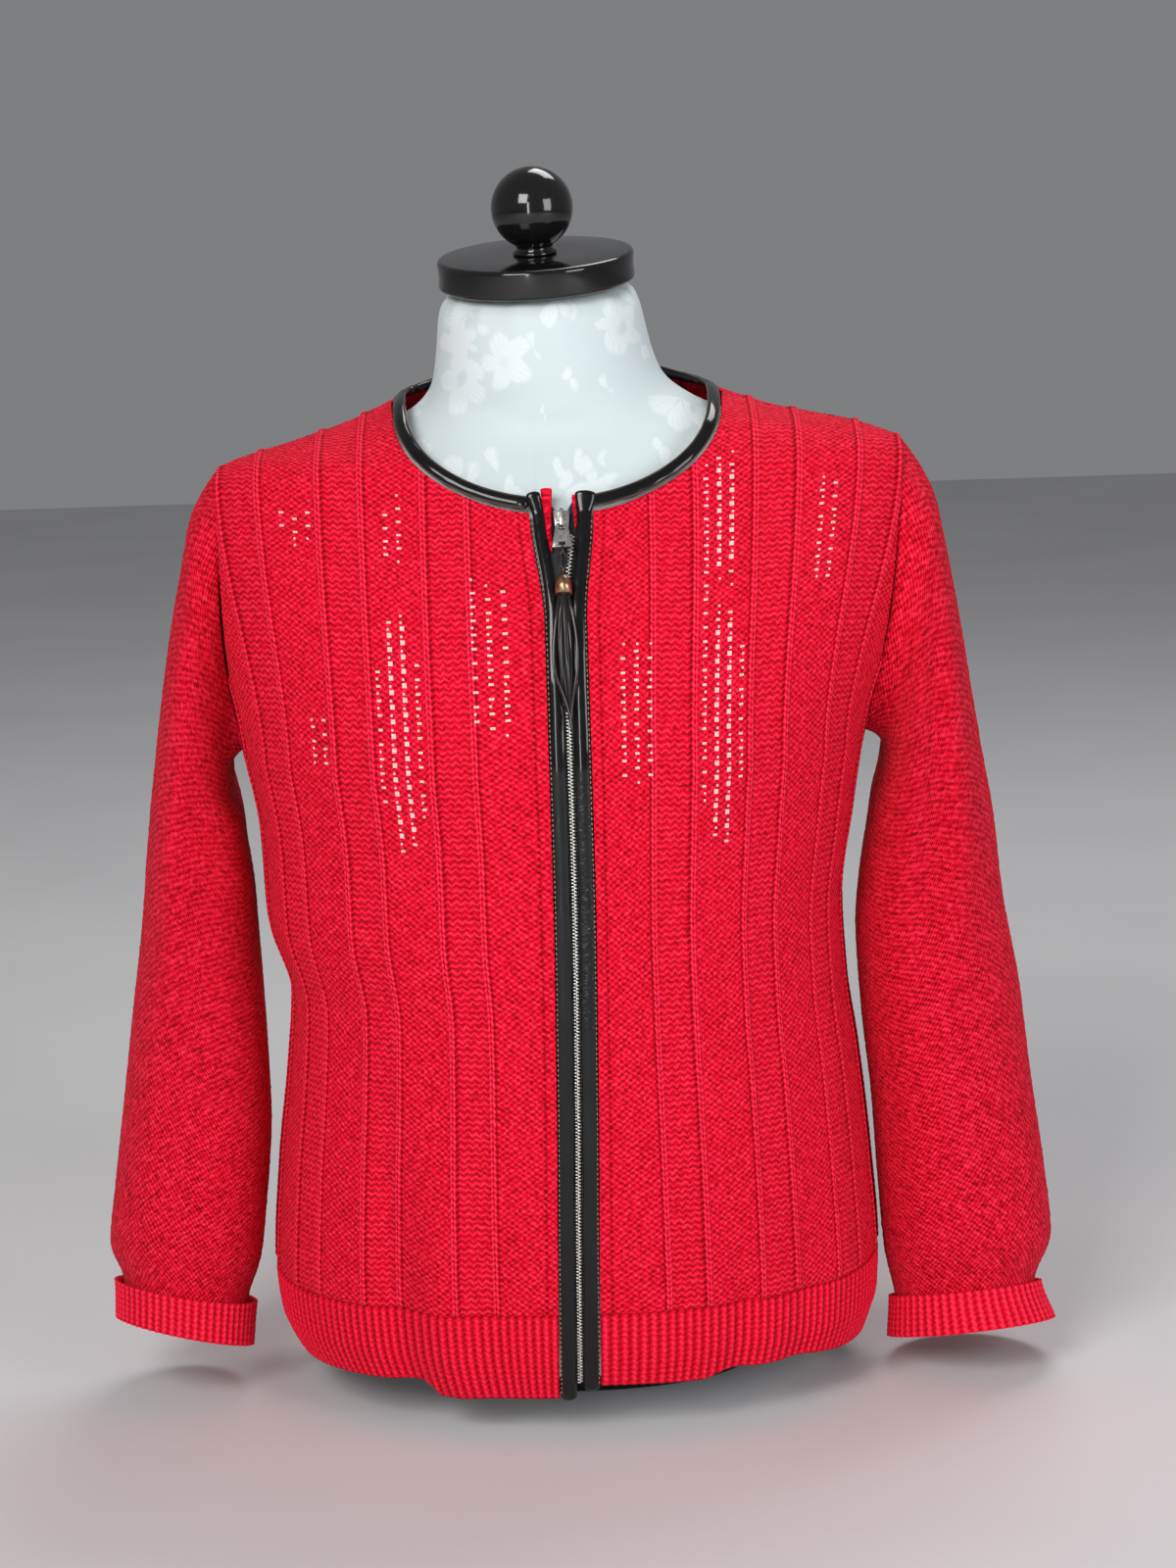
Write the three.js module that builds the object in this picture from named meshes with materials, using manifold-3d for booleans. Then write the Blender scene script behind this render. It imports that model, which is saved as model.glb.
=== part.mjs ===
// A red knitted zip cardigan with black leather edges, worn by a limbless dress form.
// Millimetres, +Z up. The front faces -Y and the wearer's left is at +X.
// The origin is the centre of the underside of the form's foot, which everything stands on.
// Every cloth piece is a wall: an outer surface with its ribs, and a plain inner one.
import * as THREE from "three";
import { mergeVertices } from "three/addons/utils/BufferGeometryUtils.js";
import Module from "manifold-3d";

// ---------------------------------------------------------------- driving sizes

const SEAM_GAP = 0.35; // left between two sewn pieces
const ARMHOLE_GAP = 1.1; // wider, because the sleeve turns away from the seam
const KNIT_WALL = 2.2;
const UNDERARM_Z = 387;
const HEM_Z = 24; // lower edge of the hem
const HEM_BAND_TOP_Z = 76;

const NECK = { halfWidth: 95, sideZ: 587, frontDrop: 59, backRise: 3, backDip: 6 };
const NAPE_LEAN = 0.22; // how much the cloth rises towards the nape
const SHOULDER_TIP = { place: 183, x: 198 }; // where the outermost knit column of the shoulder ends

// The torso's outer surface: half widths to the wearer's right and left, depths to
// the front and back, and how square each level's outline is (2 is an ellipse, and less
// pinches it towards the shoulders only).
const TORSO = [
  { z: 24, right: 170, left: 167, front: 127, back: 101, square: 2.3 },
  { z: 38, right: 178, left: 172, front: 131, back: 106, square: 2.3 },
  { z: 52, right: 183, left: 176, front: 134, back: 109, square: 2.3 },
  { z: 76, right: 185, left: 177, front: 136, back: 110, square: 2.3 },
  { z: 140, right: 180, left: 173, front: 137, back: 106, square: 2.3 },
  { z: 200, right: 172, left: 167, front: 137, back: 103, square: 2.3 },
  { z: 245, right: 168, left: 161, front: 137, back: 102, square: 2.3 },
  { z: 290, right: 180, left: 159, front: 137, back: 103, square: 2.3 },
  { z: 340, right: 182, left: 166, front: 136, back: 106, square: 2.3 },
  { z: 387, right: 190, left: 174, front: 136, back: 109, square: 2.3 },
  { z: 430, right: 197, left: 188, front: 131, back: 111, square: 2.3 },
  { z: 470, right: 203, left: 199, front: 119, back: 108, square: 2.25 },
  { z: 510, right: 208, left: 207, front: 99, back: 98, square: 2.1 },
  { z: 540, right: 207, left: 210, front: 83, back: 84, square: 1.8 },
  { z: 553, right: 196, left: 206, front: 77, back: 79, square: 1.65 },
  { z: 566, right: 154, left: 180, front: 70, back: 73, square: 1.52 },
  { z: 578, right: 117, left: 127, front: 66, back: 69, square: 1.46 },
  { z: 587, right: 95, left: 95, front: 62, back: 67, square: 1.42 },
  { z: 597, right: 66, left: 66, front: 60, back: 66, square: 1.42 },
];

// The bust pushes the front out on each side of the middle.
const BUST = { x: 82, z: 402, spreadX: 48, spreadZ: 60, depth: 6 };

// Drape folds: soft ridges (+) and troughs (-) that run up the cloth. The place is
// the panel's share from its middle (0) to the side seam (1), with the fold's ends.
const DRAPES = [
  { side: -1, face: "front", at: 0.3, lean: 0.02, low: 10, high: 190, width: 0.05, depth: 5 },
  { side: -1, face: "front", at: 0.41, lean: 0.03, low: 10, high: 230, width: 0.05, depth: -6 },
  { side: -1, face: "front", at: 0.72, lean: -0.05, low: 60, high: 330, width: 0.09, depth: 4 },
  { side: -1, face: "front", at: 0.93, lean: 0, low: 215, high: 330, width: 0.14, depth: 4 },
  { side: 1, face: "front", at: 0.36, lean: 0.02, low: 10, high: 130, width: 0.04, depth: -5 },
  { side: 1, face: "front", at: 0.52, lean: 0.03, low: 10, high: 150, width: 0.05, depth: -4 },
  { side: 1, face: "front", at: 0.67, lean: 0.06, low: 60, high: 400, width: 0.05, depth: 4 },
  { side: 1, face: "front", at: 0.86, lean: 0.05, low: 90, high: 430, width: 0.07, depth: -5 },
  { side: -1, face: "back", at: 0.25, lean: 0.03, low: 10, high: 300, width: 0.08, depth: 5 },
  { side: -1, face: "back", at: 0.6, lean: 0.04, low: 10, high: 260, width: 0.07, depth: -5 },
  { side: 1, face: "back", at: 0.36, lean: 0.04, low: 10, high: 280, width: 0.08, depth: -5 },
  { side: 1, face: "back", at: 0.7, lean: 0.04, low: 10, high: 320, width: 0.08, depth: 5 },
];

// How far the hem's edge hangs above HEM_Z, from each front's zip edge to its side seam.
const HEM_LIFT = {
  right: [
    { q: 0, lift: 0 },
    { q: 0.35, lift: 0 },
    { q: 0.39, lift: 8 },
    { q: 0.6, lift: 6 },
    { q: 1, lift: 0 },
  ],
  left: [
    { q: 0, lift: 8 },
    { q: 0.27, lift: 7 },
    { q: 0.34, lift: 11 },
    { q: 0.5, lift: 11 },
    { q: 0.72, lift: 5 },
    { q: 1, lift: 0 },
  ],
};

// Knit bands of the body, counted out from the zip: a moss band, a thin raised rib,
// a band of purl ridges, a rib, and again. Shares are of the quarter round the body.
const QUARTER = 250; // mm of cloth from the middle of a face to the side seam
const KNIT = { start: 12, firstMoss: 34, moss: 29, purl: 19, rib: 4, ribHeight: 1.3, purlSink: 0.7, plainAtSeam: 25 };
// Extra knit columns where the neckline and the armhole are steep, in mm from the middle.
const STEEP_PLACES = [80, 85.5, 183.5, 187.5, 192, 200, 226, 240];
const HEM_RIB = { pitch: 7.2, height: 1.2 };

// Rings of each sleeve below its armhole: the outer and inner edges seen from the
// front, the half depth, how far the middle is behind the shoulder line, and how far
// the ring's front is above its middle.
const SLEEVE = {
  right: [
    { outerX: 214, outerZ: 533, innerX: 195, innerZ: 383, deep: 46, y: 1, rise: 0 },
    { outerX: 221, outerZ: 499, innerX: 199, innerZ: 375, deep: 58, y: 2, rise: 0 },
    { outerX: 230, outerZ: 457, innerX: 199, innerZ: 361, deep: 66, y: 2, rise: 0 },
    { outerX: 238, outerZ: 411, innerX: 194, innerZ: 345, deep: 71, y: 1, rise: 1 },
    { outerX: 244, outerZ: 372, innerX: 192, innerZ: 327, deep: 70, y: 0, rise: 2 },
    { outerX: 249, outerZ: 336, innerX: 189, innerZ: 305, deep: 68, y: -2, rise: 3 },
    { outerX: 255, outerZ: 285, innerX: 187, innerZ: 266, deep: 64, y: -5, rise: 4 },
    { outerX: 263, outerZ: 233, innerX: 185, innerZ: 222, deep: 59, y: -9, rise: 5 },
    { outerX: 271, outerZ: 178, innerX: 184, innerZ: 171, deep: 54, y: -13, rise: 6 },
    { outerX: 279, outerZ: 124, innerX: 189, innerZ: 114, deep: 50, y: -17, rise: 8 },
    { outerX: 283, outerZ: 93, innerX: 194, innerZ: 80, deep: 47, y: -19, rise: 10 },
    { outerX: 276, outerZ: 69, innerX: 203, innerZ: 53, deep: 44, y: -20, rise: 11 },
    { outerX: 278, outerZ: 45, innerX: 205, innerZ: 26, deep: 43, y: -20, rise: 12 },
  ],
  left: [
    { outerX: 216, outerZ: 536, innerX: 184, innerZ: 383, deep: 52, y: 1, rise: 0 },
    { outerX: 223, outerZ: 502, innerX: 186, innerZ: 374, deep: 62, y: 2, rise: 0 },
    { outerX: 231, outerZ: 457, innerX: 184, innerZ: 360, deep: 67, y: 2, rise: 0 },
    { outerX: 238, outerZ: 411, innerX: 179, innerZ: 345, deep: 68, y: 1, rise: 1 },
    { outerX: 244, outerZ: 372, innerX: 176, innerZ: 328, deep: 66, y: 0, rise: 2 },
    { outerX: 250, outerZ: 336, innerX: 172, innerZ: 307, deep: 63, y: -1, rise: 3 },
    { outerX: 255, outerZ: 287, innerX: 168, innerZ: 267, deep: 58, y: -3, rise: 4 },
    { outerX: 264, outerZ: 234, innerX: 170, innerZ: 221, deep: 52, y: -6, rise: 5 },
    { outerX: 270, outerZ: 178, innerX: 175, innerZ: 167, deep: 48, y: -9, rise: 6 },
    { outerX: 277, outerZ: 124, innerX: 178, innerZ: 112, deep: 46, y: -12, rise: 8 },
    { outerX: 281, outerZ: 80, innerX: 181, innerZ: 72, deep: 45, y: -14, rise: 10 },
    { outerX: 271, outerZ: 49, innerX: 187, innerZ: 42, deep: 41, y: -15, rise: 12 },
    { outerX: 275, outerZ: 25, innerX: 190, innerZ: 17, deep: 41, y: -15, rise: 13 },
  ],
};

// Long creases down each sleeve: the angle round it (0 outer, 90 front), the rings
// it runs between, its width in degrees and its depth.
const CREASES = [
  { side: 1, angle: 45, lean: 36, from: 0, to: 8, width: 16, depth: 3 },
  { side: 1, angle: 72, lean: 36, from: 0, to: 8, width: 16, depth: -8 },
  { side: 1, angle: 120, lean: -5, from: 5, to: 11, width: 24, depth: 3 },
  { side: 1, angle: 236, lean: 8, from: 2, to: 9, width: 24, depth: -5 },
  { side: 1, angle: 300, lean: -6, from: 3, to: 11, width: 24, depth: 4 },
  { side: -1, angle: 104, lean: -22, from: 2, to: 10, width: 20, depth: -5 },
  { side: -1, angle: 62, lean: 4, from: 1, to: 7, width: 24, depth: 4 },
  { side: -1, angle: 150, lean: -10, from: 2, to: 6, width: 20, depth: 4 },
  { side: -1, angle: 240, lean: 10, from: 2, to: 9, width: 24, depth: -5 },
  { side: -1, angle: 296, lean: -6, from: 3, to: 11, width: 26, depth: 4 },
];

// Turned-back cuffs. The top edge stands off the sleeve, and the fold below it flares.
const CUFF = { depth: 24, wall: 2.4, clearance: 0.5, ribs: 36, ribHeight: 1.1 };
const CUFF_FLARE = { right: { top: 2.2, fold: 0.8 }, left: { top: 0.3, fold: 5 } };

// The zip runs down the middle with a little sway, and opens into a V at the top.
const ZIP_SWAY = [
  { z: 20, x: -4 },
  { z: 120, x: -2 },
  { z: 200, x: 0 },
  { z: 340, x: 2 },
  { z: 450, x: 2 },
  { z: 540, x: 1 },
];
const ZIP = {
  opensAt: 470,
  openBy: 6, // how far each side has moved out at the top
  edge: 11.5, // knit edge from the zip's middle
  facingWidth: 9,
  facingThick: 5,
  facingLift: -0.4, // middle of the facing, in front of the knit's outer surface
  facingAbove: 12, // how far the facing stands above the neckline
  tapeWidth: 9,
  tapeThick: 0.9,
  chainWidth: 3.7,
  chainThick: 1.8,
  topZ: 531,
};
const BINDING = { width: 7.2, thick: 5, startX: 20, clear: 1.2 };

const SLIDER = {
  z: 523.5,
  topWidth: 9.4,
  lowWidth: 7.2,
  height: 11,
  thick: 4.4,
  lift: 1.6,
  arch: 3.6,
  archWidth: 2.2,
  archWall: 1,
  archLow: 1.2, // how far above the slider's foot the arch's lower leg stands
};
const PULL = {
  barZ: -2.6, // the swing axis, from the slider's middle
  drop: 1.5, // and in front of the slider's face
  rest: 9, // degrees out from the slider's face
  bar: 0.8,
  topWidth: 5.8,
  lowWidth: 10,
  length: 16,
  thick: 1.1,
  eyeWidth: 3.2,
  eyeLength: 5,
  frameLength: 4.4, // the open frame at its foot, which the tassel hangs from
  frameWall: 1.2,
  frameHole: 3.4,
};
const TASSEL = {
  loopLength: 17.5,
  linkRadius: 1.9,
  knotAt: 3.2,
  ringAt: 8.6, // the middle of the cord's loop
  ringHalfWide: 2.5,
  ringHalfLong: 4.4,
  cord: 0.85,
  bellLength: 11.5,
  bellRadius: 4.6,
  headDrop: 7, // from the bell's top to the strips' head
  standOff: 3, // degrees that it leans out from the chest
  strips: 6,
  length: 76,
  headRadius: 3,
  headLength: 4,
  narrow: 2.6, // half width at the head and the tips
  bow: 6.6, // and where the strips bow apart
  settle: 12, // how far the strips' ends fall back to the chest
};

// The dress form below its neck. Where the cloth hugs it, it is cut back to stay clear.
const FORM_CLEARANCE = 5.5;
const FORM = [
  { z: 16, right: 126, left: 126, front: 78, back: 86 },
  { z: 24, right: 136, left: 136, front: 88, back: 94 },
  { z: 60, right: 147, left: 147, front: 95, back: 100 },
  { z: 120, right: 152, left: 152, front: 98, back: 103 },
  { z: 190, right: 142, left: 142, front: 94, back: 92 },
  { z: 255, right: 123, left: 123, front: 86, back: 78 },
  { z: 320, right: 134, left: 134, front: 106, back: 88 },
  { z: 390, right: 152, left: 152, front: 140, back: 104 },
  { z: 440, right: 158, left: 158, front: 140, back: 120 },
  { z: 490, right: 166, left: 166, front: 140, back: 120 },
  { z: 530, right: 184, left: 186, front: 140, back: 120 },
  { z: 572, right: 190, left: 192, front: 140, back: 120 },
];
// The neck leans to the wearer's right, its top is tipped forward, and its foot rises
// to the nape as the cloth does.
const FORM_NECK = [
  { z: 582, x: 0, half: 84, front: 54, back: 57, square: 1.6, tip: 0, nape: 1 },
  { z: 588, x: -2, half: 75.5, front: 54, back: 57, square: 1.75, tip: 0, nape: 1 },
  { z: 594, x: -4, half: 69, front: 54.5, back: 56.5, square: 1.9, tip: 1, nape: 0.85 },
  { z: 604, x: -6, half: 64.5, front: 55.5, back: 56.5, square: 2, tip: 3, nape: 0.6 },
  { z: 625, x: -7.5, half: 60.5, front: 56, back: 56.5, square: 2, tip: 6, nape: 0.2 },
  { z: 652, x: -9, half: 57.4, front: 56.5, back: 56.5, square: 2, tip: 9, nape: 0 },
];
const CAP = { radius: 56.8, thick: 17, round: 2, tipForward: 9, tipSide: -2 };
const BALL = { radius: 23.6, stemRadius: 11, stem: 5 };
const FOOT = { halfWidth: 98, halfDepth: 52, round: 3 };

// ---------------------------------------------------------------- materials

const material = (color, roughness, metalness = 0) =>
  new THREE.MeshStandardMaterial({ color, roughness, metalness, side: THREE.DoubleSide });
const redKnit = material(0xd8163a, 0.85);
const blackLeather = material(0x15161a, 0.28);
const blackTape = material(0x101012, 0.8);
const steel = material(0xa8a6a0, 0.3, 0.95);
const agedBrass = material(0x8c6d42, 0.35, 0.9);
const whiteCover = material(0xe6ebea, 0.75);
const blackGloss = material(0x0d0d0f, 0.15);

// ---------------------------------------------------------------- small helpers

const vec = (x, y, z) => new THREE.Vector3(x, y, z);
const radians = THREE.MathUtils.degToRad;
const clamp = THREE.MathUtils.clamp;
const mix = THREE.MathUtils.lerp;
const ease = (x, low, high) => THREE.MathUtils.smoothstep(x, low, high);
const bell = (distance, width) => Math.exp(-((distance / width) ** 2));
const range = (n) => Array.from({ length: n }, (_, i) => i);

/** Reads one column of a table at `at`, on a smooth curve that never overshoots its rows. */
function read(table, column, at, key = "z") {
  const last = table.length - 1;
  if (at <= table[0][key]) return table[0][column];
  if (at >= table[last][key]) return table[last][column];
  const i = table.findIndex((row) => row[key] > at) - 1;
  const step = (k) => table[k + 1][key] - table[k][key];
  const slope = (k) => (table[k + 1][column] - table[k][column]) / step(k);
  const tangent = (k) => {
    if (k === 0) return slope(0);
    if (k === last) return slope(last - 1);
    const [a, b] = [slope(k - 1), slope(k)];
    return a * b <= 0 ? 0 : (2 * a * b) / (a + b);
  };
  const [h, t] = [step(i), (at - table[i][key]) / step(i)];
  const [t2, t3] = [t * t, t * t * t];
  return (
    (2 * t3 - 3 * t2 + 1) * table[i][column] +
    (t3 - 2 * t2 + t) * h * tangent(i) +
    (3 * t2 - 2 * t3) * table[i + 1][column] +
    (t3 - t2) * h * tangent(i + 1)
  );
}

/** Collects points and triangles of one closed body. */
class Skin {
  positions = [];
  faces = [];

  add(points) {
    return points.map((p) => this.positions.push(p.x, p.y, p.z) / 3 - 1);
  }

  /**
   * Fills between two lines of point numbers, seen from outside with `left` on the left.
   * Each triangle takes the shorter of the two ways across.
   */
  ladder(left, right) {
    const point = (n) => vec(...this.positions.slice(3 * n, 3 * n + 3));
    const across = (a, b) => point(a).distanceTo(point(b));
    let [i, j] = [0, 0];
    while (i < left.length - 1 || j < right.length - 1) {
      const leftOnly = j === right.length - 1;
      const rightOnly = i === left.length - 1;
      const leftNext = leftOnly || (!rightOnly && across(left[i + 1], right[j]) <= across(left[i], right[j + 1]));
      this.faces.push(left[i], right[j], leftNext ? left[i + 1] : right[j + 1]);
      if (leftNext) i += 1;
      else j += 1;
    }
  }

  /** A flat cap over a ring of point numbers, seen anticlockwise from outside. */
  cap(ring, centre) {
    const [middle] = this.add([centre]);
    ring.forEach((p, i) => this.faces.push(middle, p, ring[(i + 1) % ring.length]));
  }

  mesh(name, look) {
    const geometry = new THREE.BufferGeometry();
    geometry.setAttribute("position", new THREE.Float32BufferAttribute(this.positions, 3));
    geometry.setIndex(this.faces);
    geometry.computeVertexNormals();
    const made = new THREE.Mesh(geometry, look);
    made.name = name;
    return made;
  }
}

/**
 * A cloth wall from columns of points, left to right as seen from outside. Each column has
 * its `outer` points, from the lowest up, and most also have `inner` ones.
 */
function clothWall(name, look, columns, closed = false) {
  const skin = new Skin();
  const made = columns.map((c) => ({ outer: skin.add(c.outer), inner: c.inner && skin.add(c.inner) }));
  const lined = made.filter((c) => c.inner);
  const loop = (list) => (closed ? [...list, list[0]] : list);
  const pairs = (list) => loop(list).slice(1).map((c, i) => [list[i], c]);
  for (const [a, b] of pairs(made)) skin.ladder(a.outer, b.outer);
  for (const [a, b] of pairs(lined)) skin.ladder(b.inner, a.inner);
  const edge = (list, face, row) => loop(list).map((c) => c[face].at(row));
  skin.ladder(edge(made, "outer", 0), edge(lined, "inner", 0));
  skin.ladder(edge(lined, "inner", -1), edge(made, "outer", -1));
  if (!closed) {
    const [first, last] = [made[0], made.at(-1)];
    skin.ladder(first.inner, first.outer);
    skin.ladder(last.outer, last.inner);
  }
  return skin.mesh(name, look);
}

/** A closed bar through sections, each a ring of points seen anticlockwise from its far end. */
function loft(name, look, sections, endless = false) {
  const skin = new Skin();
  const rings = sections.map((s) => skin.add(s));
  const wrap = (ring) => [...ring, ring[0]];
  const joined = endless ? [...rings, rings[0]] : rings;
  joined.slice(1).forEach((ring, i) => skin.ladder(wrap(ring), wrap(joined[i])));
  const middle = (s) => s.reduce((sum, p) => sum.add(p), vec(0, 0, 0)).divideScalar(s.length);
  if (!endless) {
    skin.cap([...rings[0]].reverse(), middle(sections[0]));
    skin.cap(rings.at(-1), middle(sections.at(-1)));
  }
  return skin.mesh(name, look);
}

/** Rings of an oval section set along a path, with `out` the direction of its thickness. */
function sweepRings(path, outs, width, thick, sides) {
  return path.map((p, i) => {
    const ahead = path[Math.min(i + 1, path.length - 1)].clone().sub(path[Math.max(i - 1, 0)]).normalize();
    const across = new THREE.Vector3().crossVectors(outs[i], ahead).normalize();
    const out = new THREE.Vector3().crossVectors(ahead, across).normalize();
    const [w, t] = [width, thick].map((size) => (typeof size === "function" ? size(i) : size) / 2);
    return range(sides).map((k) => {
      const turn = (2 * Math.PI * k) / sides;
      return p.clone().addScaledVector(across, w * Math.cos(turn)).addScaledVector(out, t * Math.sin(turn));
    });
  });
}

function solid(name, look, geometry) {
  const mesh = new THREE.Mesh(geometry, look);
  mesh.name = name;
  return mesh;
}

// ---------------------------------------------------------------- the torso's surface

const halfWidth = (side, z) => read(TORSO, side < 0 ? "right" : "left", z);
const zipX = (z) => read(ZIP_SWAY, "x", z);

/** Depth of the outer surface at x on one side and face of the torso. */
function depthAt(side, face, x, z) {
  const square = read(TORSO, "square", z);
  const share = Math.min(Math.abs(x) / halfWidth(side, z), 1);
  const hull = read(TORSO, face, z) * (1 - share ** Math.max(square, 2)) ** (1 / square);
  if (face !== "front") return hull;
  return hull + BUST.depth * bell(Math.abs(x) - BUST.x, BUST.spreadX) * bell(z - BUST.z, BUST.spreadZ);
}

/** x of the point a share q of the way round a quarter of the torso, by length of cloth. */
function quarterX(side, face, q, z) {
  const steps = 40;
  const [wide, square] = [halfWidth(side, z), read(TORSO, "square", z)];
  const outline = range(steps + 1).map((i) => {
    const turn = (Math.PI / 2) * (i / steps);
    return { x: wide * Math.sin(turn) ** (2 / square), y: read(TORSO, face, z) * Math.cos(turn) ** (2 / square) };
  });
  const lengths = outline.slice(1).map((p, i) => Math.hypot(p.x - outline[i].x, p.y - outline[i].y));
  let left = q * lengths.reduce((sum, length) => sum + length, 0);
  const i = lengths.findIndex((length, k) => {
    if (left <= length || k === steps - 1) return true;
    left -= length;
    return false;
  });
  return mix(outline[i].x, outline[i + 1].x, Math.min(left / lengths[i], 1));
}

const tipQ = SHOULDER_TIP.place / QUARTER;
const topX = (q) => (SHOULDER_TIP.x * q) / tipQ;

/** Height of the neckline at x, before the lean to the nape. */
function neckZ(face, x) {
  const share = Math.min(x / NECK.halfWidth, 1);
  const round = Math.sqrt(1 - share ** 2);
  if (face === "front") return NECK.sideZ - NECK.frontDrop * round;
  return NECK.sideZ + NECK.backRise * round - NECK.backDip * 2 * share * round;
}

/** The cloth and the form both rise towards the nape, near the neck. */
function leanToNape(p) {
  const near = ease(p.z, 530, NECK.sideZ) * (1 - ease(Math.abs(p.x), 80, 170));
  return p.y > 0 ? vec(p.x, p.y, p.z + NAPE_LEAN * p.y * near) : p;
}

/** Height of the shoulder's ridge at x, found by halving. */
function ridgeZ(side, x) {
  let [low, high] = [530, 597];
  for (let i = 0; i < 30; i += 1) {
    const middle = (low + high) / 2;
    if (halfWidth(side, middle) > x) low = middle;
    else high = middle;
  }
  return low;
}

const tipZ = (side) => ridgeZ(side, SHOULDER_TIP.x);

/** Height at which a knit column ends: on the neckline, shoulder seam or armhole. */
function columnTop(side, face, q) {
  if (q > tipQ) {
    const out = (q - tipQ) / (1 - tipQ);
    return mix(tipZ(side), UNDERARM_Z, out ** (1 / 2.2));
  }
  const x = topX(q);
  return x < NECK.halfWidth ? neckZ(face, x) : ridgeZ(side, x);
}

/** x of a knit column at a height: round the body below the underarm, upright above. */
function columnX(side, face, q, z) {
  if (z <= UNDERARM_Z) return quarterX(side, face, q, z);
  const top = q > tipQ ? tipZ(side) : columnTop(side, face, q);
  return mix(quarterX(side, face, q, UNDERARM_Z), topX(q), ease(z, UNDERARM_Z, top));
}

/** How far the drape folds move the cloth out at one place. */
function drape(side, face, q, z) {
  return DRAPES.filter((f) => f.side === side && f.face === face).reduce((sum, f) => {
    const along = (z - f.low) / (f.high - f.low);
    const strength = ease(along, 0, 0.12) * (1 - ease(along, 0.45, 1));
    return sum + f.depth * strength * bell(q - f.at - f.lean * along, f.width);
  }, 0);
}

/** A point of the torso's smooth outer surface. */
function torsoPoint(side, face, q, z) {
  const x = columnX(side, face, q, z);
  const y = depthAt(side, face, x, z) + drape(side, face, q, z) * (1 - q ** 4);
  return leanToNape(vec(side * x, face === "front" ? -y : y, z));
}

/** The surface's outward direction, from two short steps over it. */
function torsoOut(side, face, q, z) {
  const [dq, dz] = [0.01, 2];
  const top = columnTop(side, face, Math.min(q, 1)) - 0.5;
  const zMid = Math.min(z, top - dz);
  const qMid = clamp(q, dq, 1 - dq);
  const acrossIt = torsoPoint(side, face, qMid + dq, zMid).sub(torsoPoint(side, face, qMid - dq, zMid));
  const upIt = torsoPoint(side, face, qMid, zMid + dz).sub(torsoPoint(side, face, qMid, zMid - dz));
  const out = acrossIt.cross(upIt).normalize();
  return side * (face === "front" ? 1 : -1) < 0 ? out.negate() : out;
}

/** How far from the middle a front's knit begins, beside the zip, at a height. */
function frontEdgeX(side, z) {
  const open = ZIP.openBy * ease(z, ZIP.opensAt, NECK.sideZ - NECK.frontDrop);
  return ZIP.edge + SEAM_GAP + open + side * zipX(z);
}

// ---------------------------------------------------------------- knit panels

/** Places across a quarter where the knit changes, with how far the surface is raised there. */
function knitPlaces() {
  const places = [{ at: KNIT.start, height: 0, lined: true }];
  let [at, moss] = [KNIT.start, true];
  while (at < QUARTER) {
    const mossWidth = at === KNIT.start ? KNIT.firstMoss : KNIT.moss;
    at += moss ? mossWidth : KNIT.purl;
    places.push({ at, height: moss ? 0 : -KNIT.purlSink, lined: false });
    places.push({ at: at + KNIT.rib / 2, height: KNIT.ribHeight, lined: true });
    places.push({ at: at + KNIT.rib, height: moss ? -KNIT.purlSink : 0, lined: false });
    at += KNIT.rib;
    moss = !moss;
  }
  const neckCorner = (NECK.halfWidth / SHOULDER_TIP.x) * SHOULDER_TIP.place;
  const steep = [...STEEP_PLACES, neckCorner].map((place) => ({ at: place, height: 0, lined: true }));
  const inside = places.filter((p) => p.at < QUARTER - KNIT.plainAtSeam);
  return [...inside, ...steep, { at: QUARTER, height: 0, lined: true }].sort((a, b) => a.at - b.at);
}

/** Heights of a column's points, from the hem band's top to where the column ends. */
function columnLevels(side, face, q) {
  const below = [HEM_BAND_TOP_Z + SEAM_GAP, 112, 150, 190, 228, 268, 308, 348, UNDERARM_Z];
  const steps = 6;
  const shares = range(steps).map((i) => 1 - (1 - (i + 1) / steps) ** 1.35);
  const top = columnTop(side, face, q) - SEAM_GAP * 0.6;
  const reach = q > tipQ ? tipZ(side) : top;
  const above = shares.map((share) => mix(UNDERARM_Z, reach, share)).filter((z) => z < top - 4);
  return [...[...below, ...above].filter((z) => z < top - 4), top];
}

/** The outer and inner points of a panel at one place; the shoulder's ridge is a place of its own. */
function wallPoint(side, face, q, z, height = 0) {
  const x = topX(q);
  if (q <= tipQ && x >= NECK.halfWidth - 0.01 && z > ridgeZ(side, x) - 1) {
    const y = (face === "front" ? -1 : 1) * SEAM_GAP * 0.6;
    const ridge = ridgeZ(side, x);
    return { outer: vec(side * x, y, ridge), inner: vec(side * x, y, ridge - KNIT_WALL * 1.05) };
  }
  const point = torsoPoint(side, face, q, z);
  const out = torsoOut(side, face, q, z);
  const inner = point.clone().addScaledVector(out, -KNIT_WALL);
  return { outer: point.addScaledVector(out, height), inner };
}

/** One column of a torso wall: its outer points with the rib's height, and its inner ones. */
function torsoColumn(side, face, q, height, lined, levels) {
  const places = levels.map((z, i) => {
    const seamRows = q > tipQ - 0.01 ? 2 : 1;
    const atSeam = i === 0 || i >= levels.length - seamRows;
    return wallPoint(side, face, q, z, atSeam && levels.length > 3 ? 0 : height);
  });
  const inner = lined ? places.map((p) => p.inner) : undefined;
  return { outer: places.map((p) => p.outer), inner };
}

/** Moves a front's first column sideways so that its edge follows the zip. */
function followZip(side, column) {
  const move = (p) => {
    const x = side * frontEdgeX(side, p.z);
    return vec(x, p.y, p.z);
  };
  return { ...column, outer: column.outer.map(move), inner: column.inner.map(move) };
}

const sideSeamQ = 1 - SEAM_GAP / 2 / QUARTER;

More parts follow.
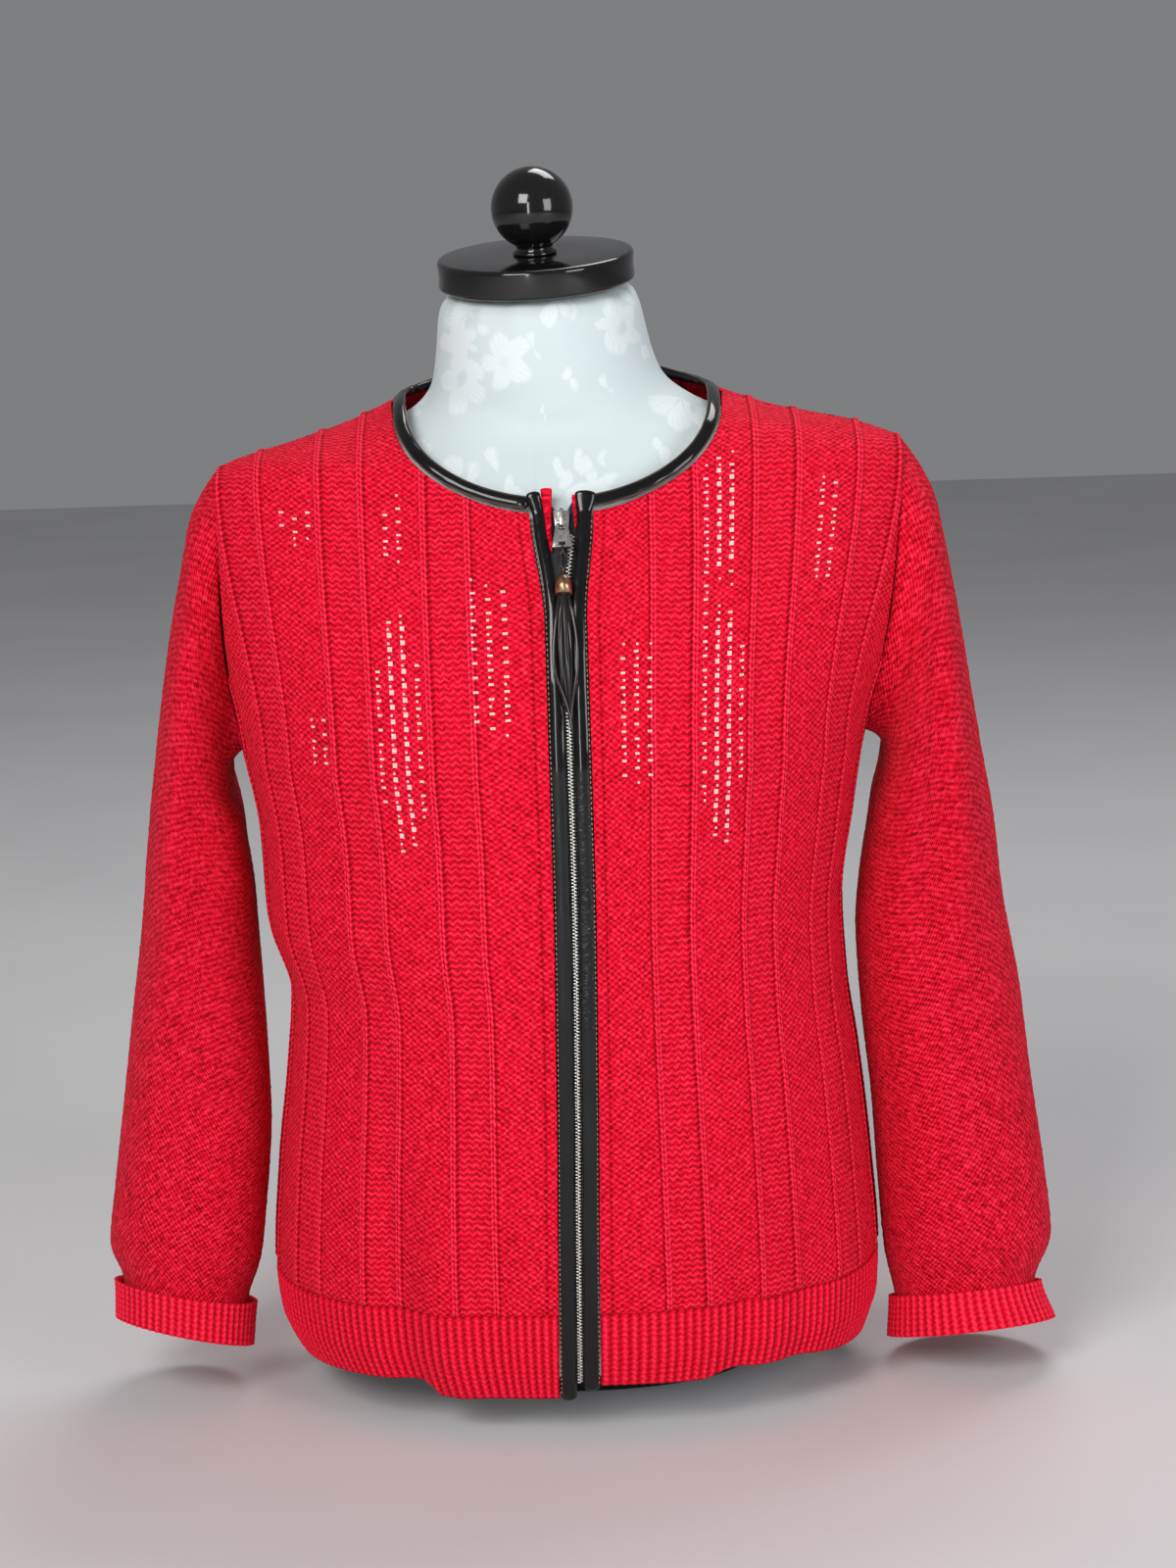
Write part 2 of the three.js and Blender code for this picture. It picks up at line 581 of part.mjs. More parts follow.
function quarterColumns(side, face) {
  return knitPlaces().map(({ at, height, lined }) => {
    const q = Math.min(at / QUARTER, sideSeamQ);
    return torsoColumn(side, face, q, height, lined, columnLevels(side, face, q));
  });
}

function frontPanel(name, side) {
  const columns = quarterColumns(side, "front");
  columns[0] = followZip(side, columns[0]);
  return clothWall(name, redKnit, side < 0 ? columns.reverse() : columns);
}

function backPanel(name) {
  const [right, left] = [-1, 1].map((side) => quarterColumns(side, "back"));
  return clothWall(name, redKnit, [...left.reverse(), ...right]);
}

// ---------------------------------------------------------------- the hem's ribbed bands

function hemLift(side, face, q) {
  if (face === "back") return 0;
  return read(HEM_LIFT[side < 0 ? "right" : "left"], "lift", q, "q");
}

function hemColumns(side, face, start) {
  const count = Math.round((QUARTER - start) / HEM_RIB.pitch);
  return range(2 * count + 1).map((i) => {
    const q = Math.min(mix(start, QUARTER, i / (2 * count)) / QUARTER, sideSeamQ);
    const low = HEM_Z + hemLift(side, face, q);
    const levels = [low, 46, HEM_BAND_TOP_Z - SEAM_GAP / 2];
    const height = i % 2 && i < 2 * count ? HEM_RIB.height : 0;
    const column = torsoColumn(side, face, q, height, i % 4 === 0 || i === 2 * count, levels);
    return i === 0 && face === "front" ? followZip(side, column) : column;
  });
}

function hemFront(name, side) {
  const columns = hemColumns(side, "front", KNIT.start);
  return clothWall(name, redKnit, side < 0 ? columns.reverse() : columns);
}

function hemBack(name) {
  const [right, left] = [-1, 1].map((side) => hemColumns(side, "back", HEM_RIB.pitch / 2));
  return clothWall(name, redKnit, [...left.reverse(), ...right]);
}

// ---------------------------------------------------------------- sleeves and cuffs

/** Wall points of the armhole, from the shoulder's tip down the front and up the back. */
function armhole(side) {
  const edge = (face) =>
    knitPlaces()
      .filter(({ at }) => at >= SHOULDER_TIP.place)
      .map(({ at, lined }) => {
        const q = Math.min(at / QUARTER, sideSeamQ);
        return { ...wallPoint(side, face, q, columnLevels(side, face, q).at(-1)), lined };
      });
  return [...edge("front"), ...edge("back").reverse().slice(1, -1)];
}

/** The angle of each armhole point round the sleeve, by length, with the underarm at 180 degrees. */
function armholeAngles(loop) {
  const under = loop.reduce((best, p, i) => (p.z < loop[best].z ? i : best), 0);
  const lengths = loop.map((p, i) => p.distanceTo(loop[(i + 1) % loop.length]));
  const sum = (from, to) => lengths.slice(from, to).reduce((a, b) => a + b, 0);
  return loop.map((_, i) =>
    i <= under ? (180 * sum(0, i)) / sum(0, under) : 180 + (180 * sum(under, i)) / sum(under, loop.length),
  );
}

function crease(side, angle, ring) {
  return CREASES.filter((c) => c.side === side).reduce((sum, c) => {
    const along = (ring - c.from) / (c.to - c.from);
    const strength = ease(along, 0, 0.25) * (1 - ease(along, 0.6, 1));
    const off = ((angle - c.angle - c.lean * along + 540) % 360) - 180;
    return sum + c.depth * strength * bell(off, c.width);
  }, 0);
}

/** A point of a sleeve's outer surface, `ring` counted down from the armhole. */
function sleevePoint(side, angle, ring, more = 0) {
  const rows = SLEEVE[side < 0 ? "right" : "left"].map((row, i) => ({ ...row, i }));
  const get = (column) => read(rows, column, ring, "i");
  const middle = vec((get("outerX") + get("innerX")) / 2, get("y"), (get("outerZ") + get("innerZ")) / 2);
  const across = vec(get("outerX"), get("y"), get("outerZ")).sub(middle);
  const turn = radians(angle);
  const grow = crease(side, angle, ring) + more;
  const p = middle
    .clone()
    .addScaledVector(across, Math.cos(turn) * (1 + grow / across.length()))
    .add(vec(0, -(get("deep") + grow) * Math.sin(turn), get("rise") * Math.sin(turn)));
  return vec(side * p.x, p.y, p.z);
}

/** Puts a wall's inner points a wall's thickness inside a tube's rings of outer ones. */
function innerRings(rings, wall) {
  return rings.map((ring, i) =>
    ring.map((p, k) => {
      const round = ring[(k + 1) % ring.length].clone().sub(ring[(k + ring.length - 1) % ring.length]);
      const down = rings[Math.min(i + 1, rings.length - 1)][k].clone().sub(rings[Math.max(i - 1, 0)][k]);
      return p.clone().addScaledVector(round.cross(down).normalize(), wall);
    }),
  );
}

/** A closed tube's wall from its rings, top ring first, run anticlockwise seen from above. */
function tubeWall(name, look, outerRings, inner, lined) {
  const columns = lined.map((hasInner, k) => ({
    outer: outerRings.map((ring) => ring[k]).reverse(),
    inner: hasInner ? inner.map((ring) => ring[k]).reverse() : undefined,
  }));
  return clothWall(name, look, columns, true);
}

/** Rings run anticlockwise from above on both sides of the body. */
const turned = (side, rings) => (side > 0 ? rings.map((ring) => [...ring].reverse()) : rings);

/**
 * The wall of the sleeve's first ring, set off from the armhole's. Its edge lies against the
 * armhole's, and halfway between the two walls where the sleeve swells out past the seam.
 */
function sleeveHead(side, loop, next) {
  const places = loop.map(({ outer, inner }, i) => {
    const along = loop[(i + 1) % loop.length].outer.clone().sub(loop.at(i - 1).outer);
    const out = outer.clone().sub(inner).normalize();
    const away = along.clone().cross(out).setLength(-side);
    const down = next[i].clone().sub(outer);
    const face = along.cross(down).setLength(side);
    return { outer, out, away, face };
  });
  return places.map(({ outer, out, away, face }) => {
    const half = Math.max(Math.atan2(-face.dot(away), face.dot(out)), 0) / 2;
    const mitre = out.multiplyScalar(Math.cos(half)).addScaledVector(away, -Math.sin(half));
    const edge = outer.clone().addScaledVector(away, ARMHOLE_GAP);
    return { outer: edge, inner: edge.clone().addScaledVector(mitre, -KNIT_WALL / Math.max(Math.cos(half), 0.6)) };
  });
}

function sleeve(name, side) {
  const loop = armhole(side);
  const angles = armholeAngles(loop.map((p) => p.outer));
  const last = SLEEVE.right.length - 1;
  const stations = [0, 0.5, ...range(last).map((i) => i + 1)];
  const below = stations.map((s) => angles.map((angle) => sleevePoint(side, angle, s)));
  const head = sleeveHead(side, loop, below[0]);
  const rings = turned(side, [head.map((p) => p.outer), ...below]);
  const inner = [...turned(side, [head.map((p) => p.inner)]), ...innerRings(rings, KNIT_WALL).slice(1)];
  const [lined] = turned(side, [loop.map((p) => p.lined)]);
  return tubeWall(name, redKnit, rings, inner, lined);
}

/** The turned-back cuff: a ribbed band outside the sleeve's end, folded under its edge. */
function cuff(name, side) {
  const last = SLEEVE.right.length - 1;
  const rows = SLEEVE[side < 0 ? "right" : "left"];
  const length = rows[last - 1].outerZ - rows[last].outerZ;
  const up = CUFF.depth / length;
  const wide = CUFF.clearance + CUFF.wall;
  const flare = CUFF_FLARE[side < 0 ? "right" : "left"];
  // each corner of the band's section: rings up from the sleeve's end, and how far out
  const corners = [
    { up: -0.05, out: CUFF.clearance, rib: 0 },
    { up: -0.05, out: wide + flare.fold, rib: 1 },
    { up, out: wide + flare.top, rib: 1 },
    { up, out: CUFF.clearance + flare.top, rib: 0 },
    { up: up * 0.3, out: CUFF.clearance, rib: 0 },
  ];
  const skin = new Skin();
  const rings = corners.map((corner) => {
    const points = range(2 * CUFF.ribs).map((k) => {
      const rib = k % 2 ? CUFF.ribHeight * corner.rib : 0;
      return sleevePoint(side, (360 * k) / (2 * CUFF.ribs), last - corner.up, corner.out + rib);
    });
    return skin.add(side > 0 ? points.reverse() : points);
  });
  const wrap = (ring) => [...ring, ring[0]];
  corners.forEach((_, i) => skin.ladder(wrap(rings[(i + 1) % corners.length]), wrap(rings[i])));
  return skin.mesh(name, redKnit);
}

// ---------------------------------------------------------------- leather edges and the zip

const frontNeckZ = NECK.sideZ - NECK.frontDrop;

/** Points up a line beside the zip, `off` from its middle and `lift` in front of the knit. */
function zipLine(side, off, lift, levels) {
  return levels.map((z) => {
    const open = ZIP.openBy * ease(z, ZIP.opensAt, frontNeckZ);
    const x = zipX(z) + side * (off + open);
    const above = Math.max(0, z - frontNeckZ);
    const depth = (level) => depthAt(side, "front", Math.abs(x), level);
    const out = vec(0, -1, (depth(z - above - 4) - depth(z - above)) / 4).normalize();
    return vec(x, -depth(z - above) + 0.2 * above, z).addScaledVector(out, lift);
  });
}

const zipLevels = (low, high, steps) => range(steps + 1).map((i) => mix(low, high, i / steps));

/** A bar up the zip: its section's width and thickness, and how far it lies from the middle. */
function zipBar(name, look, { side, off, lift, width, thick, low, high, steps, sides }) {
  const path = zipLine(side, off, lift, zipLevels(low, high, steps));
  const outs = path.map(() => vec(0, -1, 0.3));
  return loft(name, look, sweepRings(path, outs, width, thick, sides));
}

/** The padded leather strip on a front's edge, with its end standing up at the neck. */
function zipFacing(name, side) {
  return zipBar(name, blackLeather, {
    side,
    off: ZIP.edge - SEAM_GAP - ZIP.facingWidth / 2,
    lift: ZIP.facingLift,
    width: ZIP.facingWidth,
    thick: ZIP.facingThick,
    low: HEM_Z - 1 + (side > 0 ? 6 : 0),
    high: frontNeckZ + ZIP.facingAbove,
    steps: 22,
    sides: 8,
  });
}

const tapeLift = ZIP.facingLift - ZIP.facingThick / 2 - 1.4 * SEAM_GAP - ZIP.tapeThick / 2;

function zipTape(name, side) {
  return zipBar(name, blackTape, {
    side,
    off: SEAM_GAP / 2 + ZIP.tapeWidth / 2,
    lift: tapeLift,
    width: ZIP.tapeWidth,
    thick: ZIP.tapeThick,
    low: HEM_Z + 8,
    high: ZIP.topZ,
    steps: 16,
    sides: 6,
  });
}

function zipChain(name) {
  return zipBar(name, steel, {
    side: 1,
    off: 0,
    lift: tapeLift + (ZIP.tapeThick + ZIP.chainThick) / 2 + 1.5 * SEAM_GAP,
    width: ZIP.chainWidth,
    thick: ZIP.chainThick,
    low: HEM_Z + 9,
    high: SLIDER.z - SLIDER.height / 2 - 1.5,
    steps: 16,
    sides: 6,
  });
}

/** The leather tube round the neck, from one zip facing round the nape to the other. */
function neckBinding(name) {
  const turnAt = (x) => Math.asin(x / NECK.halfWidth);
  const place = (side, face, turn) => {
    const x = NECK.halfWidth * Math.sin(turn);
    const q = (x / SHOULDER_TIP.x) * tipQ;
    const z = neckZ(face, x);
    const atSide = Math.PI / 2 - turn < 0.01;
    return { point: torsoPoint(side, face, q, z), out: atSide ? vec(side * 0.3, 0, 1) : torsoOut(side, face, q, z - 1) };
  };
  const half = (side) => [
    ...range(10).map((i) => place(side, "front", mix(turnAt(BINDING.startX), Math.PI / 2, i / 9))),
    ...range(7).map((i) => place(side, "back", mix(Math.PI / 2, 0, (i + 1) / 7))),
  ];
  const places = [...half(-1), ...half(1).reverse().slice(1)];
  const path = places.map(({ point, out }, i) => {
    const ahead = places[Math.min(i + 1, places.length - 1)].point.clone().sub(places[Math.max(i - 1, 0)].point);
    const up = new THREE.Vector3().crossVectors(ahead, out).normalize();
    return point.clone().addScaledVector(up, BINDING.width / 2 + BINDING.clear).addScaledVector(out, -0.5);
  });
  return loft(name, blackLeather, sweepRings(path, places.map((p) => p.out), BINDING.width, BINDING.thick, 8));
}

// ---------------------------------------------------------------- slider, pull and tassel

const wasm = await Module();
wasm.setup();

/** One body from geometries that overlap. */
function fuse(name, look, geometries) {
  const solids = geometries.map((source) => {
    const geometry = source.index ? source : mergeVertices(source);
    for (const extra of ["normal", "uv"]) geometry.deleteAttribute(extra);
    const merged = mergeVertices(geometry);
    return new wasm.Manifold(
      new wasm.Mesh({
        numProp: 3,
        vertProperties: new Float32Array(merged.attributes.position.array),
        triVerts: new Uint32Array(merged.index.array),
      }),
    );
  });
  const { vertProperties, triVerts } = solids.reduce((sum, next) => sum.add(next)).getMesh();
  const geometry = new THREE.BufferGeometry();
  geometry.setAttribute("position", new THREE.BufferAttribute(new Float32Array(vertProperties), 3));
  geometry.setIndex([...triVerts]);
  geometry.computeVertexNormals();
  return solid(name, look, geometry);
}

/** A flat plate from an outline in x and z, centred on y. */
function plate(outline, thick, hole) {
  const shape = new THREE.Shape(outline.map(([x, z]) => new THREE.Vector2(x, z)));
  if (hole) shape.holes.push(new THREE.Path(hole.map(([x, z]) => new THREE.Vector2(x, z))));
  const geometry = new THREE.ExtrudeGeometry(shape, { depth: thick, bevelEnabled: false });
  return geometry.translate(0, 0, -thick / 2).rotateX(Math.PI / 2);
}

const box = (x, y, z, [cx, cy, cz]) => new THREE.BoxGeometry(x, y, z).translate(cx, cy, cz);
const trapezoid = (top, low, high, deep) => [[-low / 2, deep], [low / 2, deep], [top / 2, high], [-top / 2, high]];

const chestY = (z) => -depthAt(1, "front", 0, z);

/** The slider, with the arch that its pull hangs from. Its outer face is at y = 0, facing -y. */
function zipSlider(name) {
  const { topWidth, lowWidth, height, thick, arch, archWidth, archWall, archLow } = SLIDER;
  const body = plate(trapezoid(topWidth, lowWidth, height / 2, -height / 2), thick);
  body.translate(0, thick / 2, 0);
  const sunk = 0.4; // the legs' feet, inside the body
  const [low, high] = [-height / 2 + archLow, height / 2 - archWall / 2];
  const leg = (z) => box(archWidth, arch + sunk, archWall, [0, (sunk - arch) / 2, z]);
  const top = box(archWidth, archWall, high - low + archWall, [0, -arch + archWall / 2, (low + high) / 2]);
  return fuse(name, steel, [body, leg(low), leg(high), top]);
}

/** The pull: an eye round the arch, a plate that widens downwards, and a low crossbar. */
function zipPull(name) {
  const { topWidth, lowWidth, length, thick, bar, eyeWidth, eyeLength, frameLength, frameWall, frameHole } = PULL;
  const frameTop = -length + frameLength;
  const overlap = 0.2;
  const hole = trapezoid(eyeWidth, eyeWidth, -bar, -eyeLength).reverse();
  const flat = plate(trapezoid(topWidth, lowWidth, bar, frameTop - overlap), thick, hole);
  const lowHole = trapezoid(frameHole, frameHole, frameTop - 1, -length + frameWall).reverse();
  const low = plate(trapezoid(lowWidth, lowWidth + 1, frameTop, -length), thick, lowHole);
  const crossbar = new THREE.CylinderGeometry(bar, bar, topWidth, 12).rotateZ(Math.PI / 2);
  return fuse(name, steel, [flat, low, crossbar]);
}

/** A closed ring of cord, longer than it is wide. */
const cordRing = (halfWide, halfLong, cord) =>
  new THREE.TorusGeometry(halfLong, cord, 5, 14).rotateX(Math.PI / 2).scale(halfWide / halfLong, 1, 1);

/** The link through the pull's frame, a knot, the cord's loop and its tail down to the bell. */
function tasselLoop(name) {
  const { loopLength, linkRadius, knotAt, ringAt, ringHalfWide, ringHalfLong, cord } = TASSEL;
  const link = new THREE.TorusGeometry(linkRadius, 0.6, 5, 10).rotateY(Math.PI / 2);
  const knot = new THREE.SphereGeometry(1.6, 8, 6).translate(0, 0, -knotAt);
  const ring = cordRing(ringHalfWide, ringHalfLong, cord).translate(0, 0, -ringAt);
  const [tailTop, tailFoot] = [-ringAt - ringHalfLong + cord, -loopLength - 1.4];
  const tail = new THREE.CylinderGeometry(0.9, 0.9, tailTop - tailFoot, 8).rotateX(Math.PI / 2);
  return fuse(name, blackLeather, [link, knot, ring, tail.translate(0, 0, (tailTop + tailFoot) / 2)]);
}

/** The brass bell over the tassel's head, hollow below. */
function tasselBell(name) {
  const { bellLength, bellRadius } = TASSEL;
  const outline = [
    [1.3, 0],
    [2.4, -0.3],
    [3.6, -2],
    [bellRadius, -5],
    [bellRadius + 0.2, -bellLength],
    [bellRadius - 0.6, -bellLength],
    [bellRadius - 0.8, -5],
    [2.6, -2.4],
    [1.3, -1.6],
    [1.3, 0],
  ];
  const points = outline.map(([r, z]) => new THREE.Vector2(r, z)).reverse();
  return solid(name, agedBrass, new THREE.LatheGeometry(points, 16).rotateX(Math.PI / 2));
}

/** Leather strips from one head, bowing apart and meeting again low down. */
function tasselStrips(name) {
  const { strips, length, narrow, bow, headRadius, headLength } = TASSEL;
  const head = new THREE.CylinderGeometry(headRadius, headRadius, headLength, 12).rotateX(Math.PI / 2);
  head.translate(0, 0, -1);
  const hanging = range(strips).map((i) => {
    const spread = (i - (strips - 1) / 2) / ((strips - 1) / 2);
    const reach = length * (1 - 0.05 * (i % 3));
    const path = range(9).map((k) => {
      const t = k / 8;
      const below = Math.max(0, t - 0.1) / 0.9;
      const x = spread * (narrow + (bow - narrow) * Math.sin(Math.PI * below)) * (t < 0.1 ? 0.75 : 1);
      const apart = i % 2 ? 1.1 : -1.1;
      return vec(x, apart + TASSEL.settle * t * t, -reach * t);
    });
    const outs = path.map(() => vec(0, -1, 0));
    return loft("strip", blackLeather, sweepRings(path, outs, 1.9, 1.3, 4)).geometry;
  });
  return fuse(name, blackLeather, [head, ...hanging]);
}

/** How the chest leans at a height, over a span below it. */
const chestLean = (z, span) => -Math.atan2(chestY(z) - chestY(z - span), span);

/** The slider and pull at the top of the zip, and the tassel that hangs from the pull. */
function zipHardware() {
  const metal = new THREE.Group();
  const lean = chestLean(SLIDER.z + 5, 10);
  const out = vec(0, -Math.cos(lean), -Math.sin(lean));
  metal.rotation.x = lean;
  metal.position.set(zipX(SLIDER.z), chestY(SLIDER.z), SLIDER.z).addScaledVector(out, SLIDER.lift);
  const pull = zipPull("zip_pull");
  pull.position.set(0, -PULL.drop, PULL.barZ);
  pull.rotation.x = -radians(PULL.rest);
  metal.add(zipSlider("zip_slider"), pull);
  metal.updateMatrixWorld(true);

  const hung = [
    { mesh: tasselLoop("tassel_loop"), from: pull, below: PULL.length - 0.6 },
    { mesh: tasselBell("tassel_bell"), below: TASSEL.loopLength },
    { mesh: tasselStrips("tassel"), below: TASSEL.headDrop },
  ];
  hung.forEach(({ mesh, from, below }, i) => {
    mesh.position.copy((from ?? hung[i - 1].mesh).localToWorld(vec(0, 0, -below)));
    mesh.rotation.x = chestLean(mesh.position.z, 30) - radians(TASSEL.standOff);
    mesh.updateMatrixWorld(true);
  });
  return new THREE.Group().add(metal, ...hung.map(({ mesh }) => mesh));
}

// ---------------------------------------------------------------- the dress form

/** Directions round the form, as a cosine and a sine, anticlockwise from above. */
const aroundForm = () =>
  range(30).map((i) => (2 * Math.PI * (i + 0.5)) / 30).map((turn) => [Math.cos(turn), Math.sin(turn)]);

/** One level of the form, anticlockwise from above, kept inside the cloth. */
function formRing(z) {
  const inside = z + 1.5 * FORM_CLEARANCE;
  const square = read(TORSO, "square", inside);
  return aroundForm().map(([c, s]) => {
    const [side, face] = [c < 0 ? "right" : "left", s < 0 ? "front" : "back"];
    const wide = Math.min(read(FORM, side, z), read(TORSO, side, inside) - FORM_CLEARANCE);
    const snug = FORM_CLEARANCE + 1.5 + 9 * ease(z, 530, 572);
    const deep = Math.min(read(FORM, face, z), read(TORSO, face, z) - snug);
    const x = Math.sign(c) * wide * Math.abs(c) ** (2 / Math.max(square, 2));
    return leanToNape(vec(x, Math.sign(s) * deep * Math.abs(s) ** (2 / square), z));
  });
}

function neckRing({ z, x, half, front, back, square, tip, nape }) {
  return aroundForm().map(([c, s]) => {
    const px = Math.sign(c) * half * Math.abs(c) ** (2 / square);
    const py = Math.sign(s) * (s < 0 ? front : back) * Math.abs(s) ** (2 / square);
    const sideways = (px * Math.tan(radians(CAP.tipSide)) * tip) / CAP.tipForward;
    const upright = vec(x + px, py, z);
    const risen = mix(z, leanToNape(upright).z, nape);
    return vec(x + px, py, risen + py * Math.tan(radians(tip)) - sideways);
  });
}

function formBody(name) {
  const levels = [16, 24, 60, 110, 150, 190, 225, 255, 285, 320, 355, 390, 425, 460, 490, 515, 535, 548, 557, 566, 574];
  return loft(name, whiteCover, [...levels.map(formRing), ...FORM_NECK.map(neckRing)]);
}

/** A round piece about +Z from its side's outline. */
function turnedPiece(name, look, outline, segments) {
  const points = outline.map(([r, z]) => new THREE.Vector2(r, z));
  return solid(name, look, new THREE.LatheGeometry(points, segments).rotateX(Math.PI / 2));
}

/** Tips a piece as the neck's top is tipped, and puts it at a height on the neck's axis. */
function tipOnNeck(mesh, up) {
  const neck = FORM_NECK.at(-1);
  mesh.rotation.set(radians(CAP.tipForward), radians(CAP.tipSide), 0);
  const axis = vec(0, 0, 1).applyEuler(mesh.rotation);
  mesh.position.set(neck.x, 0, neck.z).addScaledVector(axis, up);
  return mesh;
}

function formCap(name) {
  const { radius, thick, round } = CAP;
  const outline = [[0, 0], [radius - round, 0], [radius - round * 0.3, round * 0.3], [radius, round],
    [radius, thick - round], [radius - round * 0.3, thick - round * 0.3], [radius - round, thick], [0, thick]];
  return tipOnNeck(turnedPiece(name, blackGloss, outline, 40), SEAM_GAP);
}

function formBall(name) {
  const { radius, stemRadius, stem } = BALL;
  const low = Math.asin(stemRadius / radius);
  const arc = range(13).map((i) => {
    const turn = mix(low, Math.PI, i / 12);
    return [radius * Math.sin(turn), stem + radius * (Math.cos(low) - Math.cos(turn))];
  });
  arc[arc.length - 1][0] = 0;
  return tipOnNeck(turnedPiece(name, blackGloss, [[0, 0], [stemRadius, 0], ...arc], 24), CAP.thick + 2 * SEAM_GAP);
}

function formFoot(name) {
  const high = FORM[0].z - SEAM_GAP;
  const level = (z, inset) =>
    aroundForm().map(([c, s]) => vec((FOOT.halfWidth - inset) * c, (FOOT.halfDepth - inset) * s, z));
  const { round } = FOOT;
  return loft(name, blackGloss, [level(0, round), level(round, 0), level(high - round, 0), level(high, round)]);
}

// ---------------------------------------------------------------- assembly

const group = new THREE.Group();
group.add(
  frontPanel("front_right", -1),
  frontPanel("front_left", 1),
  backPanel("back"),
  hemFront("hem_right", -1),
  hemFront("hem_left", 1),
  hemBack("hem_back"),
  sleeve("sleeve_right", -1),
  sleeve("sleeve_left", 1),
  cuff("cuff_right", -1),
  cuff("cuff_left", 1),
  neckBinding("neck_binding"),
  zipFacing("zip_facing_right", -1),
  zipFacing("zip_facing_left", 1),
  zipTape("zip_tape_right", -1),
  zipTape("zip_tape_left", 1),
  zipChain("zip_chain"),
  zipHardware(),
  formBody("form_body"),
  formCap("form_cap"),
  formBall("form_ball"),
  formFoot("form_foot"),
);

export default group;
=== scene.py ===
"""Looks for a red knitted zip cardigan on a limbless dress form.

Lengths are in millimetres until a mesh is made, which is in metres. +Z is up, the front
faces -Y and the wearer's left is at +X, as in the CAD model.
"""

import math

import bmesh
import bpy
import numpy as np
from mathutils import Euler, Matrix, Vector


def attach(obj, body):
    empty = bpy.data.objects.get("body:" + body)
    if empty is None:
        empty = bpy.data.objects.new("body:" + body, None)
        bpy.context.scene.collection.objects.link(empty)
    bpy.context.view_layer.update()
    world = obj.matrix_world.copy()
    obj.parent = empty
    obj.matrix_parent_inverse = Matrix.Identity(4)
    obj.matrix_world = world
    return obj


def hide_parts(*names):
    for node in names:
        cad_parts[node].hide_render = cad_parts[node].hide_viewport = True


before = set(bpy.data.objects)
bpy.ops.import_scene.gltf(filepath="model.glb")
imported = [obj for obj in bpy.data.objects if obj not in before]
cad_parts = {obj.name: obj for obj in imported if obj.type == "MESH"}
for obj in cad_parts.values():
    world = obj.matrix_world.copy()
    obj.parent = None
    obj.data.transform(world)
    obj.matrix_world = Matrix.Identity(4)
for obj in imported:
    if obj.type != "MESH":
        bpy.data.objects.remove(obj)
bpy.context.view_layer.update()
rng = np.random.default_rng(11)

MM = 0.001

# ---------------------------------------------------------------- camera

TARGET = Vector((0.0113, 0.0, 0.358))
CAMERA_DISTANCE = 2.0
CAMERA_RISE = math.radians(10)
CAMERA_ROLL = math.radians(-1.8)


def add_camera():
    data = bpy.data.cameras.new("camera")
    data.sensor_fit = "VERTICAL"
    data.sensor_height = 36
    data.lens = 77.6
    camera = bpy.data.objects.new("camera", data)
    bpy.context.collection.objects.link(camera)
    away = Vector((0, -math.cos(CAMERA_RISE), math.sin(CAMERA_RISE)))
    turn = (-away).to_track_quat("-Z", "Y").to_matrix().to_4x4()
    roll = Matrix.Rotation(CAMERA_ROLL, 4, "Z")
    camera.matrix_world = Matrix.Translation(TARGET + away * CAMERA_DISTANCE) @ turn @ roll
    bpy.context.scene.camera = camera


add_camera()

# ---------------------------------------------------------------- the CAD model's driving sizes

QUARTER = 250  # mm of cloth from the middle of a face to the side seam
SEAM_GAP = 0.35
UNDERARM_Z = 387
HEM_Z = 24
HEM_BAND_TOP_Z = 76
NECK_HALF = 95
NECK_SIDE_Z = 587
NECK_FRONT_DROP = 59
FRONT_NECK_Z = NECK_SIDE_Z - NECK_FRONT_DROP
TIP_Q = 183 / QUARTER
TIP_X = 198
KNIT_WALL = 2.2
KNIT_START = 12

# z, half widths to the wearer's right and left, depths to the front and back, squareness
TORSO_ROWS = [
    (24, 170, 167, 127, 101, 2.3),
    (38, 178, 172, 131, 106, 2.3),
    (52, 183, 176, 134, 109, 2.3),
    (76, 185, 177, 136, 110, 2.3),
    (140, 180, 173, 137, 106, 2.3),
    (200, 172, 167, 137, 103, 2.3),
    (245, 168, 161, 137, 102, 2.3),
    (290, 180, 159, 137, 103, 2.3),
    (340, 182, 166, 136, 106, 2.3),
    (387, 190, 174, 136, 109, 2.3),
    (430, 197, 188, 131, 111, 2.3),
    (470, 203, 199, 119, 108, 2.25),
    (510, 208, 207, 99, 98, 2.1),
    (540, 207, 210, 83, 84, 1.8),
    (553, 196, 206, 77, 79, 1.65),
    (566, 154, 180, 70, 73, 1.52),
    (578, 117, 127, 66, 69, 1.46),
    (587, 95, 95, 62, 67, 1.42),
    (597, 66, 66, 60, 66, 1.42),
]

# side, face, place, lean, low z, high z, width, depth
DRAPES = [
    (-1, "front", 0.3, 0.02, 10, 190, 0.05, 5),
    (-1, "front", 0.41, 0.03, 10, 230, 0.05, -6),
    (-1, "front", 0.72, -0.05, 60, 330, 0.09, 4),
    (-1, "front", 0.93, 0, 215, 330, 0.14, 4),
    (1, "front", 0.36, 0.02, 10, 130, 0.04, -5),
    (1, "front", 0.52, 0.03, 10, 150, 0.05, -4),
    (1, "front", 0.67, 0.06, 60, 400, 0.05, 4),
    (1, "front", 0.86, 0.05, 90, 430, 0.07, -5),
    (-1, "back", 0.25, 0.03, 10, 300, 0.08, 5),
    (-1, "back", 0.6, 0.04, 10, 260, 0.07, -5),
    (1, "back", 0.36, 0.04, 10, 280, 0.08, -5),
    (1, "back", 0.7, 0.04, 10, 320, 0.08, 5),
]

